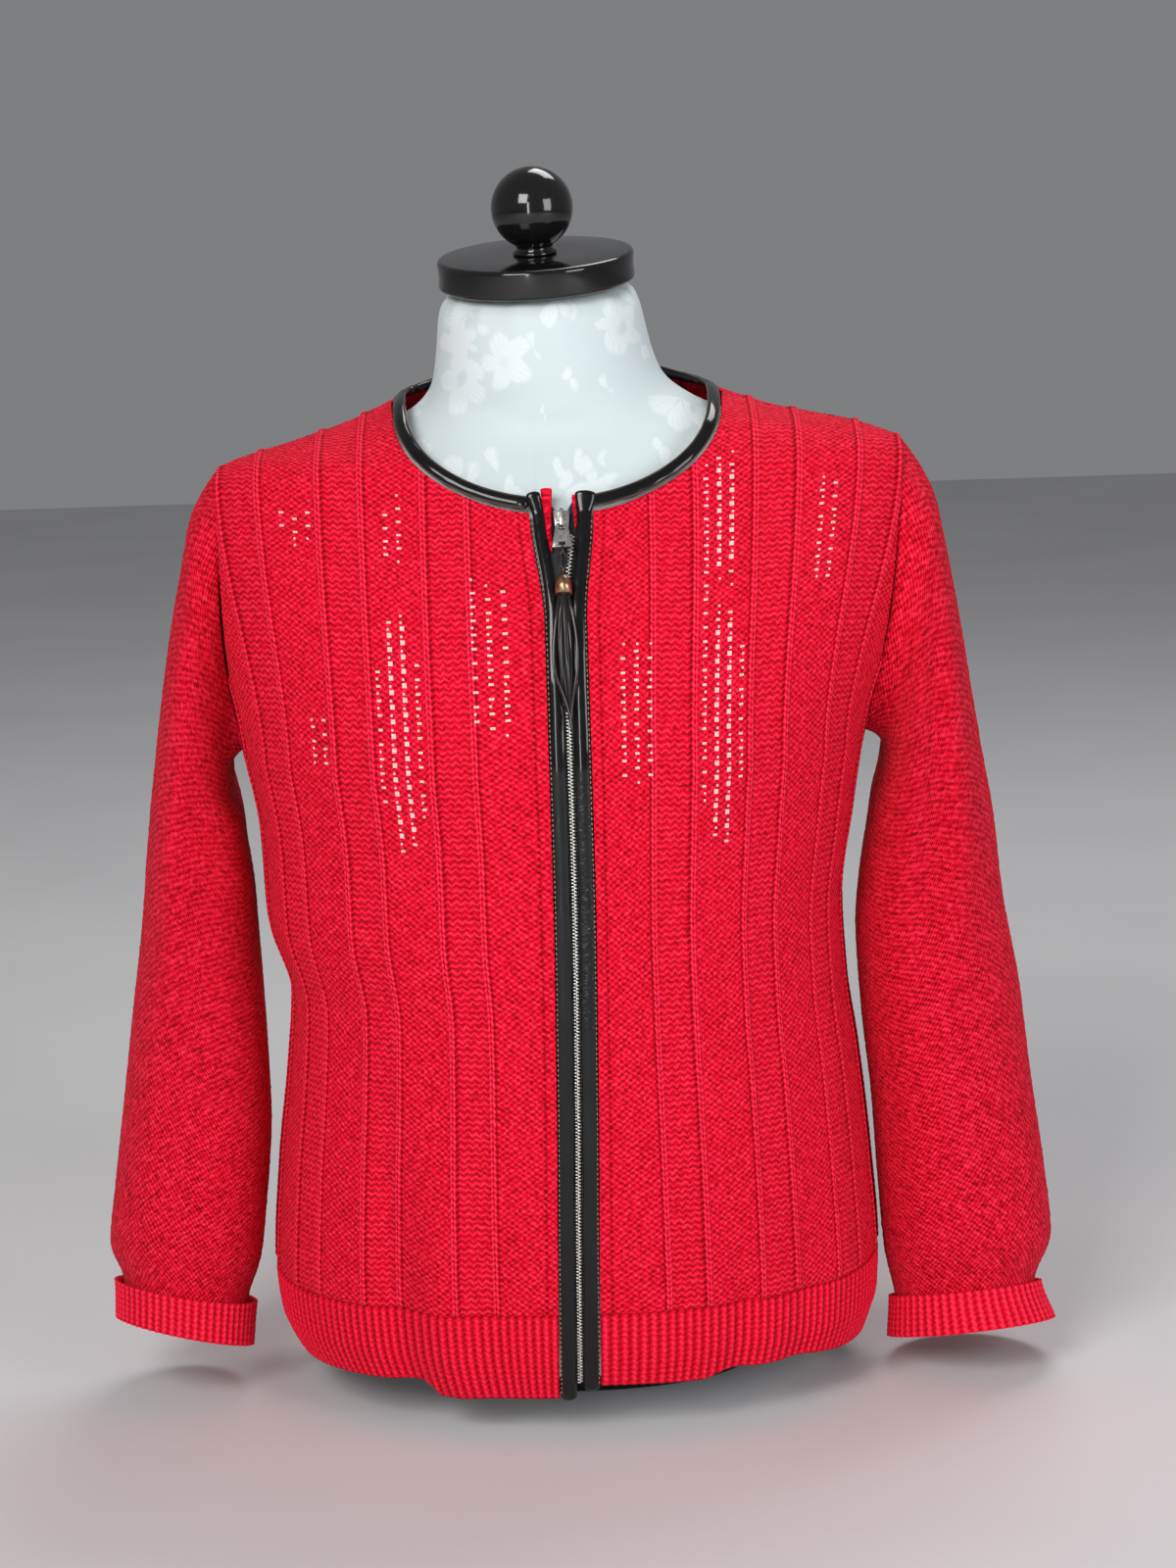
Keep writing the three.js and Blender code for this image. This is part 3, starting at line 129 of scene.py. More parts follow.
# place round the quarter and how far the hem's edge hangs above HEM_Z there
HEM_LIFT = {
    -1: [(0, 0), (0.35, 0), (0.39, 8), (0.6, 6), (1, 0)],
    1: [(0, 8), (0.27, 7), (0.34, 11), (0.5, 11), (0.72, 5), (1, 0)],
}

# outer edge x and z, inner edge x and z, half depth, y of the middle, rise of the front
SLEEVE_ROWS = {
    -1: [
        (214, 533, 195, 383, 46, 1, 0),
        (221, 499, 199, 375, 58, 2, 0),
        (230, 457, 199, 361, 66, 2, 0),
        (238, 411, 194, 345, 71, 1, 1),
        (244, 372, 192, 327, 70, 0, 2),
        (249, 336, 189, 305, 68, -2, 3),
        (255, 285, 187, 266, 64, -5, 4),
        (263, 233, 185, 222, 59, -9, 5),
        (271, 178, 184, 171, 54, -13, 6),
        (279, 124, 189, 114, 50, -17, 8),
        (283, 93, 194, 80, 47, -19, 10),
        (276, 69, 203, 53, 44, -20, 11),
        (278, 45, 205, 26, 43, -20, 12),
    ],
    1: [
        (216, 536, 184, 383, 52, 1, 0),
        (223, 502, 186, 374, 62, 2, 0),
        (231, 457, 184, 360, 67, 2, 0),
        (238, 411, 179, 345, 68, 1, 1),
        (244, 372, 176, 328, 66, 0, 2),
        (250, 336, 172, 307, 63, -1, 3),
        (255, 287, 168, 267, 58, -3, 4),
        (264, 234, 170, 221, 52, -6, 5),
        (270, 178, 175, 167, 48, -9, 6),
        (277, 124, 178, 112, 46, -12, 8),
        (281, 80, 181, 72, 45, -14, 10),
        (271, 49, 187, 42, 41, -15, 12),
        (275, 25, 190, 17, 41, -15, 13),
    ],
}
LAST_RING = 12

# side, angle, lean, from ring, to ring, width, depth
CREASES = [
    (1, 45, 36, 0, 8, 16, 3),
    (1, 72, 36, 0, 8, 16, -8),
    (1, 120, -5, 5, 11, 24, 3),
    (1, 236, 8, 2, 9, 24, -5),
    (1, 300, -6, 3, 11, 24, 4),
    (-1, 104, -22, 2, 10, 20, -5),
    (-1, 62, 4, 1, 7, 24, 4),
    (-1, 150, -10, 2, 6, 20, 4),
    (-1, 240, 10, 2, 9, 24, -5),
    (-1, 296, -6, 3, 11, 26, 4),
]

ZIP_SWAY = [(20, -4), (120, -2), (200, 0), (340, 2), (450, 2), (540, 1)]
ZIP_OPENS_Z = 470
ZIP_OPEN_BY = 6
ZIP_EDGE = 11.5

# ---------------------------------------------------------------- small helpers


def smooth_table(at, values):
    """A function that runs smoothly through a table's rows and never overshoots them."""
    at = np.array(at, float)
    values = np.array(values, float)
    slope = np.diff(values) / np.diff(at)
    tangent = np.concatenate([slope[:1], slope[:1], slope[1:]])[: len(at)]
    tangent[-1] = slope[-1]
    before = slope[:-1]
    after = slope[1:]
    same = before * after > 0
    tangent[1:-1] = np.where(same, 2 * before * after / np.where(same, before + after, 1), 0)

    def value(x):
        x = np.clip(x, at[0], at[-1])
        i = np.clip(np.searchsorted(at, x, side="right") - 1, 0, len(at) - 2)
        h = at[i + 1] - at[i]
        t = (x - at[i]) / h
        start = (2 * t**3 - 3 * t**2 + 1) * values[i] + (t**3 - 2 * t**2 + t) * h * tangent[i]
        end = (3 * t**2 - 2 * t**3) * values[i + 1] + (t**3 - t**2) * h * tangent[i + 1]
        return start + end

    return value


def columns_of(rows, first=1):
    """One smooth function for each column of a table, from `first` on."""
    table = list(zip(*rows))
    return [smooth_table(table[0], column) for column in table[first:]]


def ease(x, low, high):
    """0 below `low`, 1 above `high` and smooth between."""
    t = np.clip((np.asarray(x, float) - low) / (high - low), 0, 1)
    return t * t * (3 - 2 * t)


def bell(distance, width):
    return np.exp(-((distance / width) ** 2))


def mix(a, b, share):
    return a + (b - a) * share


def stack(x, y, z):
    return np.stack(np.broadcast_arrays(x, y, z), axis=-1).astype(float)


def unit(v):
    return v / np.maximum(np.linalg.norm(v, axis=-1, keepdims=True), 1e-9)


# ---------------------------------------------------------------- the torso's surface

RIGHT, LEFT, FRONT, BACK, SQUARE = columns_of(TORSO_ROWS)
zip_x = smooth_table(*zip(*ZIP_SWAY))


def half_width(side, z):
    return RIGHT(z) if side < 0 else LEFT(z)


# how far a chest is fuller than the torso's oval: x, half width, z, half height and depth
CHEST = (82, 48, 402, 60, 6)


def depth_at(side, face, x, z):
    """Depth of the outer surface at x on one side and face of the torso."""
    square = SQUARE(z)
    share = np.minimum(np.abs(x) / half_width(side, z), 1)
    hull = (FRONT if face == "front" else BACK)(z) * (1 - share ** np.maximum(square, 2)) ** (1 / square)
    if face == "back":
        return hull
    chest_x, chest_wide, chest_z, chest_high, fullness = CHEST
    return hull + fullness * bell(np.abs(x) - chest_x, chest_wide) * bell(z - chest_z, chest_high)


LEVEL = 4.0
LOWEST_LEVEL = HEM_Z - LEVEL
SHARES = 200


def quarter_table(side, face):
    """x at shares of the way round a quarter, by length of cloth, for a row of levels."""
    turn = np.linspace(0, math.pi / 2, 41)
    rows = []
    for z in np.arange(LOWEST_LEVEL, UNDERARM_Z + 5, LEVEL):
        square = SQUARE(z)
        x = half_width(side, z) * np.sin(turn) ** (2 / square)
        y = (FRONT if face == "front" else BACK)(z) * np.cos(turn) ** (2 / square)
        length = np.concatenate([[0], np.cumsum(np.hypot(np.diff(x), np.diff(y)))])
        rows.append(np.interp(np.linspace(0, 1, SHARES + 1), length / length[-1], x))
    return np.array(rows)


QUARTERS = {(side, face): quarter_table(side, face) for side in (-1, 1) for face in ("front", "back")}


def quarter_x(side, face, q, z):
    table = QUARTERS[(side, face)]
    row = np.clip((z - LOWEST_LEVEL) / LEVEL, 0, len(table) - 1.001)
    place = np.clip(q * SHARES, 0, SHARES - 0.001)
    i = row.astype(int)
    j = place.astype(int)
    low = mix(table[i, j], table[i, j + 1], place - j)
    high = mix(table[i + 1, j], table[i + 1, j + 1], place - j)
    return mix(low, high, row - i)


def top_x(q):
    return TIP_X * q / TIP_Q


def neck_z(face, x):
    share = np.minimum(x / NECK_HALF, 1)
    round_ = np.sqrt(1 - share**2)
    if face == "front":
        return NECK_SIDE_Z - NECK_FRONT_DROP * round_
    return NECK_SIDE_Z + 3 * round_ - 12 * share * round_


def lean_to_nape(x, y, z):
    near = ease(z, 530, NECK_SIDE_Z) * (1 - ease(np.abs(x), 80, 170))
    return stack(x, y, z + np.where(y > 0, 0.22 * y * near, 0))


def ridge_z(side, x):
    """Height of the shoulder's ridge at x."""
    levels = np.linspace(530, 597, 400)
    widths = half_width(side, levels)
    start = int(np.argmax(widths))
    return np.interp(-x, -widths[start:], levels[start:])


def column_top(side, face, q):
    """Height at which a knit column ends: on the neckline, shoulder seam or armhole."""
    x = top_x(np.minimum(q, TIP_Q))
    shoulder = np.where(x < NECK_HALF, neck_z(face, x), ridge_z(side, x))
    out = np.clip((q - TIP_Q) / (1 - TIP_Q), 0, 1)
    tip = ridge_z(side, TIP_X)
    return np.where(q > TIP_Q, mix(tip, UNDERARM_Z, out ** (1 / 2.2)), shoulder)


def column_x(side, face, q, z):
    top = np.where(q > TIP_Q, ridge_z(side, TIP_X), column_top(side, face, q))
    under = quarter_x(side, face, q, np.minimum(z, UNDERARM_Z))
    above = mix(under, top_x(q), ease(z, UNDERARM_Z, np.maximum(top, UNDERARM_Z + 1)))
    return np.where(z <= UNDERARM_Z, under, above)


def drape(side, face, q, z):
    total = 0 * (q + z)
    for fold_side, fold_face, at, lean, low, high, width, depth in DRAPES:
        if (fold_side, fold_face) == (side, face):
            along = (z - low) / (high - low)
            strength = ease(along, 0, 0.12) * (1 - ease(along, 0.45, 1))
            total = total + depth * strength * bell(q - at - lean * along, width)
    return total


def torso_point(side, face, q, z):
    x = column_x(side, face, q, z)
    y = depth_at(side, face, x, z) + drape(side, face, q, z) * (1 - q**4)
    return lean_to_nape(side * x, -y if face == "front" else y, z)


def torso_out(side, face, q, z):
    """The surface's outward direction, from two short steps over it."""
    z_mid = np.minimum(z, column_top(side, face, np.minimum(q, 1)) - 2.5)
    q_mid = np.clip(q, 0.01, 0.99)
    across = torso_point(side, face, q_mid + 0.01, z_mid) - torso_point(side, face, q_mid - 0.01, z_mid)
    up = torso_point(side, face, q_mid, z_mid + 2) - torso_point(side, face, q_mid, z_mid - 2)
    return unit(np.cross(across, up)) * side * (1 if face == "front" else -1)


def front_edge_x(side, z):
    """How far from the middle a front's knit begins, beside the zip."""
    return ZIP_EDGE + SEAM_GAP + ZIP_OPEN_BY * ease(z, ZIP_OPENS_Z, FRONT_NECK_Z) + side * zip_x(z)


SIDE_SEAM_Q = 1 - SEAM_GAP / 2 / QUARTER

# ---------------------------------------------------------------- meshes


def finished(name, bm, materials, replaces=None, body="garment"):
    """Turns a bmesh in metres into an object that rides on a body and may stand for a CAD node."""
    mesh = bpy.data.meshes.new(name)
    bm.to_mesh(mesh)
    bm.free()
    made = bpy.data.objects.new(name, mesh)
    bpy.context.collection.objects.link(made)
    for material in materials:
        mesh.materials.append(material)
    mesh.polygons.foreach_set("use_smooth", [True] * len(mesh.polygons))
    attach(made, body)
    if replaces:
        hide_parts(replaces)
    return made


def grid_bmesh(points, uv=None, layers=None, inward=False, marked=None):
    """A grid of faces through rows of points, with a cloth map and named values at its points.

    Faces marked True take the second material. Points that fall together are merged.
    """
    rows, cols = points.shape[:2]
    bm = bmesh.new()
    bmesh.ops.create_grid(bm, x_segments=cols - 1, y_segments=rows - 1, size=1)
    bm.verts.ensure_lookup_table()
    here = [(round((v.co.y + 1) / 2 * (rows - 1)), round((v.co.x + 1) / 2 * (cols - 1))) for v in bm.verts]
    for v, place in zip(bm.verts, here):
        v.co = points[place] * MM
    for name, values in (layers or {}).items():
        layer = bm.verts.layers.float.new(name)
        for v, place in zip(bm.verts, here):
            v[layer] = values[place]
    if uv is not None:
        uv_layer = bm.loops.layers.uv.new("cloth")
        for face in bm.faces:
            for loop in face.loops:
                loop[uv_layer].uv = uv[here[loop.vert.index]] * MM
    if marked is not None:
        for face in bm.faces:
            places = [here[v.index] for v in face.verts]
            face.material_index = int(marked[min(p[0] for p in places), min(p[1] for p in places)])
    if inward:
        bmesh.ops.reverse_faces(bm, faces=bm.faces[:])
    bmesh.ops.remove_doubles(bm, verts=bm.verts[:], dist=2e-6)
    return bm


def grid_out(points, around=False):
    """Directions square to a grid of points."""
    if around:
        ring = points[:, :-1]
        across = np.roll(ring, -1, axis=1) - np.roll(ring, 1, axis=1)
        across = np.concatenate([across, across[:, :1]], axis=1)
    else:
        across = np.gradient(points, axis=1)
    return unit(np.cross(across, np.gradient(points, axis=0)))


END_BENDS = (30, 60, 90)


def swept(path, outs, width, thick, sides=12, square=2.0):
    """Rings of an oval section set along a path, with rounded ends; `square` over 2 is boxier."""
    width = np.broadcast_to(width, len(path))
    thick = np.broadcast_to(thick, len(path))
    ahead = unit(np.gradient(path, axis=0))
    across = unit(np.cross(outs, ahead))
    out = unit(np.cross(ahead, across))
    turn = np.linspace(0, 2 * math.pi, sides + 1)[None, :, None]
    c = np.sign(np.cos(turn)) * np.abs(np.cos(turn)) ** (2 / square)
    s = np.sign(np.sin(turn)) * np.abs(np.sin(turn)) ** (2 / square)
    w = width[:, None, None] / 2
    t = thick[:, None, None] / 2
    rings = path[:, None] + across[:, None] * w * c + out[:, None] * t * s
    ends = []
    for end, sign in ((0, -1), (-1, 1)):
        reach = min(thick[end], width[end]) / 2
        caps = []
        for bend in np.radians(END_BENDS):
            middle = path[end] + sign * ahead[end] * reach * math.sin(bend)
            caps.append(middle + (rings[end] - path[end]) * max(math.cos(bend), 0))
        ends.append(caps)
    return np.concatenate([np.array(ends[0][::-1]), rings, np.array(ends[1])])


def swept_object(name, parts, material, replaces=None, body="garment"):
    """One object from several swept parts, each a grid of rings."""
    whole = bmesh.new()
    for rings in parts:
        length = np.linalg.norm(np.gradient(rings.mean(axis=1), axis=0), axis=-1).cumsum()
        uv = np.stack(np.broadcast_arrays(np.arange(rings.shape[1])[None, :], length[:, None]), -1)
        bm = grid_bmesh(rings, uv=uv)
        mesh = bpy.data.meshes.new("part")
        bm.to_mesh(mesh)
        bm.free()
        whole.from_mesh(mesh)
        bpy.data.meshes.remove(mesh)
    bmesh.ops.recalc_face_normals(whole, faces=whole.faces[:])
    return finished(name, whole, [material], replaces, body)


# ---------------------------------------------------------------- materials


class Looks:
    """A procedural material under construction."""

    def __init__(self, name):
        self.material = bpy.data.materials.new(name)
        self.material.use_nodes = True
        self.nodes = self.material.node_tree.nodes
        self.links = self.material.node_tree.links
        self.shader = self.nodes["Principled BSDF"]
        self.place = self.node("ShaderNodeTexCoord").outputs["Object"]

    def node(self, kind, inputs=None, **settings):
        made = self.nodes.new(kind)
        for key, value in settings.items():
            setattr(made, key, value)
        for key, value in (inputs or {}).items():
            if isinstance(value, bpy.types.NodeSocket):
                self.links.new(value, made.inputs[key])
            else:
                made.inputs[key].default_value = value
        return made

    def math(self, operation, *values):
        return self.node("ShaderNodeMath", dict(enumerate(values)), operation=operation).outputs[0]

    def vector(self, operation, *values):
        return self.node("ShaderNodeVectorMath", dict(enumerate(values)), operation=operation).outputs[0]

    def waves(self, value, period=1.0):
        """A sine of the value that repeats with the period."""
        return self.math("SINE", self.math("MULTIPLY", value, 2 * math.pi / period))

    def spread(self, value, low, high, to_low=0.0, to_high=1.0):
        """The value's range from low to high, laid over another range."""
        inputs = {"Value": value, "From Min": low, "From Max": high, "To Min": to_low, "To Max": to_high}
        return self.node("ShaderNodeMapRange", inputs).outputs["Result"]

    def axes(self, vector):
        return self.node("ShaderNodeSeparateXYZ", {"Vector": vector}).outputs

    def ramp(self, factor, stops):
        made = self.node("ShaderNodeValToRGB", {"Fac": factor})
        elements = made.color_ramp.elements
        while len(elements) < len(stops):
            elements.new(0.5)
        for element, (at, color) in zip(elements, stops):
            element.position = at
            element.color = (*color, 1)
        return made.outputs["Color"]

    def noise(self, scale, detail=2.0, rough=0.5):
        inputs = {"Vector": self.place, "Scale": scale, "Detail": detail, "Roughness": rough}
        return self.node("ShaderNodeTexNoise", inputs).outputs["Fac"]

    def wandering(self, vector, scale, detail, reach):
        """The vector, moved about by up to `reach` along each axis."""
        drift = self.node("ShaderNodeTexNoise", {"Vector": self.place, "Scale": scale, "Detail": detail})
        push = self.vector("MULTIPLY", drift.outputs["Color"], reach)
        return self.vector("ADD", vector, push)

    def bump(self, height, strength, distance, normal=None):
        inputs = {"Height": height, "Strength": strength, "Distance": distance}
        if normal:
            inputs["Normal"] = normal
        return self.node("ShaderNodeBump", inputs).outputs["Normal"]

    def set(self, **values):
        for key, value in values.items():
            socket = self.shader.inputs[key.replace("_", " ")]
            if isinstance(value, bpy.types.NodeSocket):
                self.links.new(value, socket)
            else:
                socket.default_value = value
        return self.material

    def attribute(self, name):
        return self.node("ShaderNodeAttribute", attribute_name=name).outputs["Fac"]


def linear(red, green, blue):
    """A colour given in display values from 0 to 255."""
    def one(value):
        share = value / 255
        return share / 12.92 if share <= 0.04045 else ((share + 0.055) / 1.055) ** 2.4
    return (one(red), one(green), one(blue))


def shaded(color, share):
    return tuple(share * part for part in color)


# the wool's red, from painted shade in the hollows up to a painted highlight on the raised stitches
KNIT_PAINTED_SHADE_STOPS = [
    (0.02, linear(124, 0, 16)),
    (0.28, linear(186, 2, 28)),
    (0.56, linear(240, 3, 46)),
    (0.98, linear(255, 56, 90)),
]
HIGHEST_RELIEF = 1.1


def knit_look(name, wale, course, moss, shade=1.0, painted_shading=0.32, depth=0.6):
    """Wool, with a painted highlight on its raised stitches and painted shade in the hollows between them.

    `moss` is 1 for chequered bumps, 0 for V-shaped stitches, or an attribute that mixes the two.
    """
    look = Looks(name)
    cloth = look.node("ShaderNodeUVMap", uv_map="cloth").outputs["UV"]
    # the rows of stitches wander a little
    across, up, _ = look.axes(look.wandering(cloth, 210.0, 1.0, (0.0026, 0.0026, 0)))
    across = look.math("DIVIDE", across, wale * MM)
    up = look.math("DIVIDE", up, course * MM)
    bumps = look.math("MULTIPLY", look.waves(across), look.waves(up))
    slanting = look.math("ADD", up, look.math("PINGPONG", across, 0.5))
    stitches = look.math("MULTIPLY", look.waves(slanting), 0.75)
    share = look.attribute(moss) if isinstance(moss, str) else moss
    stitch = look.math("MULTIPLY_ADD", look.math("SUBTRACT", bumps, stitches), share, stitches)
    # the relief attribute sets painted shade in hollows and painted highlight on raised parts, with some
    # random variation
    level = look.spread(look.attribute("relief"), -HIGHEST_RELIEF, HIGHEST_RELIEF)
    mottle = look.math("SUBTRACT", look.noise(900, 3, 0.7), 0.5)
    level = look.math("MULTIPLY_ADD", mottle, 0.8, level)
    # painted shading of each stitch: lighter on its raised part, painted shade in its gaps
    level = look.math("MULTIPLY_ADD", stitch, painted_shading, level)
    color = look.ramp(level, [(at, shaded(stop, shade)) for at, stop in KNIT_PAINTED_SHADE_STOPS])
    bumped = look.bump(stitch, depth, 0.0009)
    bumped = look.bump(look.noise(2600, 2, 0.6), 0.35, 0.0004, bumped)
    return look.set(
        Base_Color=color, Roughness=0.82, Normal=bumped, Sheen_Weight=0.12, Sheen_Roughness=0.45,
        Sheen_Tint=(*linear(255, 110, 120), 1), Specular_IOR_Level=0.12)


def leather_look(name, base=(0.003, 0.003, 0.0035), wrinkled=False):
    look = Looks(name)
    soft = look.noise(60, 2, 0.5)
    normal = look.bump(soft, 0.35, 0.002)
    normal = look.bump(look.noise(1400, 3, 0.6), 0.06, 0.0003, normal)
    if wrinkled:
        # short folds across the strip, between two heights where they fade out
        z = look.axes(look.place)["Z"]
        inside = look.math("MULTIPLY", look.spread(z, 0.235, 0.265), look.spread(z, 0.395, 0.345))
        stretch = {"Vector": look.place, "Rotation": (0, 0.5, 0), "Scale": (90, 60, 330)}
        laid = look.node("ShaderNodeMapping", stretch).outputs["Vector"]
        folds = {"Vector": laid, "Scale": 1.0, "Detail": 2.0, "Distortion": 0.6}
        folds = look.node("ShaderNodeTexNoise", folds).outputs["Fac"]
        normal = look.bump(look.math("MULTIPLY", folds, inside), 1.0, 0.0028, normal)
    tint = look.ramp(soft, [(0.3, base), (0.75, shaded(base, 2.2))])
    return look.set(
        Base_Color=tint, Roughness=0.2, Normal=normal, Coat_Weight=0.5, Coat_Roughness=0.05,
        Specular_IOR_Level=0.15)


def metal_look(name, low, high, rough):
    look = Looks(name)
    scratches = look.noise(3800, 2, 0.5)
    color = look.ramp(look.noise(700, 4, 0.65), [(0.3, low), (0.7, high)])
    rough_range = look.spread(scratches, 0, 1, rough, rough + 0.2)
    normal = look.bump(scratches, 0.1, 0.0002)
    return look.set(Base_Color=color, Metallic=1.0, Roughness=rough_range, Normal=normal)


def tape_look(pitch=0.0012):
    """Woven tape: two sets of slanting threads that cross."""
    look = Looks("zip_tape_weave")
    x, _, z = look.axes(look.place)
    threads = [look.waves(look.math(turn, z, x), pitch) for turn in ("ADD", "SUBTRACT")]
    weave = look.math("MAXIMUM", *threads)
    level = look.math("MULTIPLY_ADD", weave, 0.5, 0.5)
    # the weave's painted shading: darker between the threads, lighter on their crests
    color = look.ramp(level, [(0.2, (0.004, 0.004, 0.005)), (0.9, (0.02, 0.02, 0.024))])
    return look.set(Base_Color=color, Roughness=0.75, Normal=look.bump(weave, 0.5, 0.0002))


def thread_look(name, color):
    look = Looks(name)
    twist = look.noise(2400, 2, 0.6)
    tint = look.ramp(twist, [(0.3, shaded(color, 0.6)), (0.7, color)])
    return look.set(Base_Color=tint, Roughness=0.8, Normal=look.bump(twist, 0.4, 0.0002))


def gloss_look():
    look = Looks("black_gloss_paint")
    dust = look.noise(2200, 3, 0.7)
    color = look.ramp(dust, [(0.45, (0.004, 0.004, 0.0045)), (0.85, (0.02, 0.02, 0.021))])
    return look.set(
        Base_Color=color, Roughness=0.12, Normal=look.bump(look.noise(160, 2, 0.5), 0.06, 0.001),
        Coat_Weight=0.4, Coat_Roughness=0.03, Specular_IOR_Level=0.35)


COVER_SEAM_X = 0.013
COVER_SEAM_TOP = 0.578
COVER_SEAM_HALF = 0.0005


def woven_figures(look, moved, scale, size, petals, depth, stretch, turn):
    """Soft-edged shapes with rounded lobes, one in each cell of a scattered grid."""
    inputs = {"Vector": moved, "Rotation": (0, turn, 0), "Scale": stretch}
    laid = look.node("ShaderNodeMapping", inputs).outputs["Vector"]
    cells = look.node("ShaderNodeTexVoronoi", {"Vector": laid, "Scale": scale}, feature="F1")
    x, _, z = look.axes(look.vector("SUBTRACT", laid, cells.outputs["Position"]))
    angle = look.math("ARCTAN2", z, x)
    lobe = look.math("ABSOLUTE", look.waves(angle, 4 * math.pi / petals))
    edge = look.math("SUBTRACT", look.math("MULTIPLY_ADD", lobe, depth, size), cells.outputs["Distance"])
    veins = look.math("MULTIPLY_ADD", look.waves(angle, math.pi / (3 * petals)), 0.2, 0.8)
    return look.math("MULTIPLY", look.spread(edge, -0.03, 0.03), veins), cells.outputs["Distance"]


def cover_look():
    """White cotton with flowers and leaves woven in, less rough than their ground and painted lighter as a
    painted sheen.
    """
    look = Looks("white_damask")
    moved = look.wandering(look.place, 45.0, 2.0, (0.014, 0.014, 0.014))
    flower, reach = woven_figures(look, moved, 23.0, 0.25, 5.0, 0.16, (1, 1, 1), 0.0)
    leaf, _ = woven_figures(look, moved, 36.0, 0.12, 2.0, 0.2, (1.3, 1, 0.8), 0.7)
    # a flower has an open eye, and leaves keep clear of flowers
    flower = look.math("MULTIPLY", flower, look.spread(reach, 0.08, 0.14))
    leaf = look.math("MULTIPLY", leaf, look.spread(reach, 0.4, 0.46))
    figure = look.math("MAXIMUM", flower, leaf)
    x, _, z = look.axes(look.place)
    from_seam = look.math("ABSOLUTE", look.math("ADD", x, COVER_SEAM_X))
    seam = look.math("LESS_THAN", from_seam, COVER_SEAM_HALF)
    seam = look.math("MULTIPLY", seam, look.math("LESS_THAN", z, COVER_SEAM_TOP))
    threads = look.noise(2600, 2, 0.6)
    # the figures' painted sheen, plus a fine random speckle of threads
    shine = look.math("MULTIPLY_ADD", figure, 0.8, look.math("MULTIPLY", threads, 0.2))
    ground = [(0.0, linear(198, 211, 213)), (0.2, linear(208, 220, 222)), (0.95, linear(223, 231, 233))]
    normal = look.bump(figure, 0.12, 0.0005)
    normal = look.bump(look.math("MULTIPLY", seam, -1.0), 0.8, 0.001, normal)
    normal = look.bump(threads, 0.2, 0.0003, normal)
    return look.set(
        Base_Color=look.ramp(shine, ground), Roughness=look.spread(figure, 0, 1, 0.8, 0.6), Normal=normal,
        Sheen_Weight=0.1)


# the widths and heights of a stitch, in mm, repeat over the cloth map
panel_knit = knit_look("red_panel_knit", 4.7, 3.6, "moss")
# the sleeves' wool is painted 7% darker, a painted shade
sleeve_knit = knit_look("red_sleeve_knit", 4.4, 3.7, 1.0, shade=0.93, painted_shading=0.36)
rib_knit = knit_look("red_rib_knit", 5.0, 3.4, 0.0, shade=0.97, painted_shading=0.14, depth=0.3)
cover = cover_look()
# the eyelets are faces painted pinkish white: painted light through them, with a painted red bounce from
# the wool
eyelet_painted_light = thread_look("painted_light_in_eyelets", linear(250, 214, 208))
leather = leather_look("black_patent_leather")
wrinkled_leather = leather_look("black_wrinkled_leather", wrinkled=True)
strip_leather = leather_look("black_strip_leather", base=(0.01, 0.009, 0.0085))
tape = tape_look()
steel = metal_look("zip_steel", linear(158, 155, 151), linear(236, 233, 228), 0.24)
brass = metal_look("aged_brass", linear(104, 78, 48), linear(206, 176, 138), 0.22)
gloss = gloss_look()
beige_thread = thread_look("beige_thread", linear(190, 160, 130))
brown_edge = thread_look("brown_edge", linear(96, 74, 60))

# ---------------------------------------------------------------- the knit's relief

WALE = 3.6
COURSE = 4.05
ROW = 1.35
MOSS = 29
FIRST_MOSS = 34
PURL = 19
RIB = 4


def bands():
    """Start, width and kind of each band of knit, counted out from the middle."""
    found = []
    at = KNIT_START
    moss = True
    while at < QUARTER:
        wide = (FIRST_MOSS if at == KNIT_START else MOSS) if moss else PURL
        found.append((at, wide, "moss" if moss else "purl"))
        found.append((at + wide, RIB, "rib"))
        at += wide + RIB
        moss = not moss
    return found


# grid cells across a band; a moss band has three for each knit column
CELLS = {"purl": 10, "rib": 6}


def wales(wide):
    """How many knit columns a moss band has."""
    return round(wide / WALE)


def panel_columns(start, moss_share=1.0):
    """Places of a panel's grid columns, closer together over the ribs."""
    places = list(np.linspace(0, KNIT_START, 7)[:-1]) if start == 0 else []
    for at, wide, kind in bands():
        cells = CELLS[kind] if kind in CELLS else int(3 * wales(wide) * moss_share)
        places.extend(at + wide * np.arange(cells) / cells)
    return np.array([place for place in places if place < QUARTER - 0.6] + [QUARTER])


def panel_relief(s, t):
    """Height, shade and moss share of the knit, `s` out from the middle and `t` up the cloth."""
    height = rng.normal(0, 0.1, s.shape)
    shade = rng.normal(0, 0.28, s.shape)
    moss = np.ones(s.shape)
    for start, wide, kind in bands():
        inside = (s >= start - 1e-6) & (s < start + wide - 1e-6)
        share = np.clip((s - start) / wide, 0, 1)
        if kind == "purl":
            height = np.where(inside, height - 0.35, height)
            shade = np.where(inside, 0.7 * shade + 0.02, shade)
            moss = np.where(inside, 0, moss)
        elif kind == "rib":
            side_share = np.abs(share - 0.5) * 2
            raised = 1.2 * (1 - side_share**3) - 0.45 * bell(side_share, 0.3)
            raised = raised + 0.1 * np.cos(2 * math.pi * t / COURSE)
            # the rib's painted shading: lighter on its top, painted shade in its middle groove and at its
            # sides
            painted_shading = 1.0 - 1.6 * bell(side_share, 0.22) - 1.9 * bell(side_share - 1, 0.3)
            height = np.where(inside, raised + 0.5 * height, height)
            shade = np.where(inside, painted_shading + 0.5 * shade, shade)
            moss = np.where(inside, 0, moss)
    return height, shade, moss


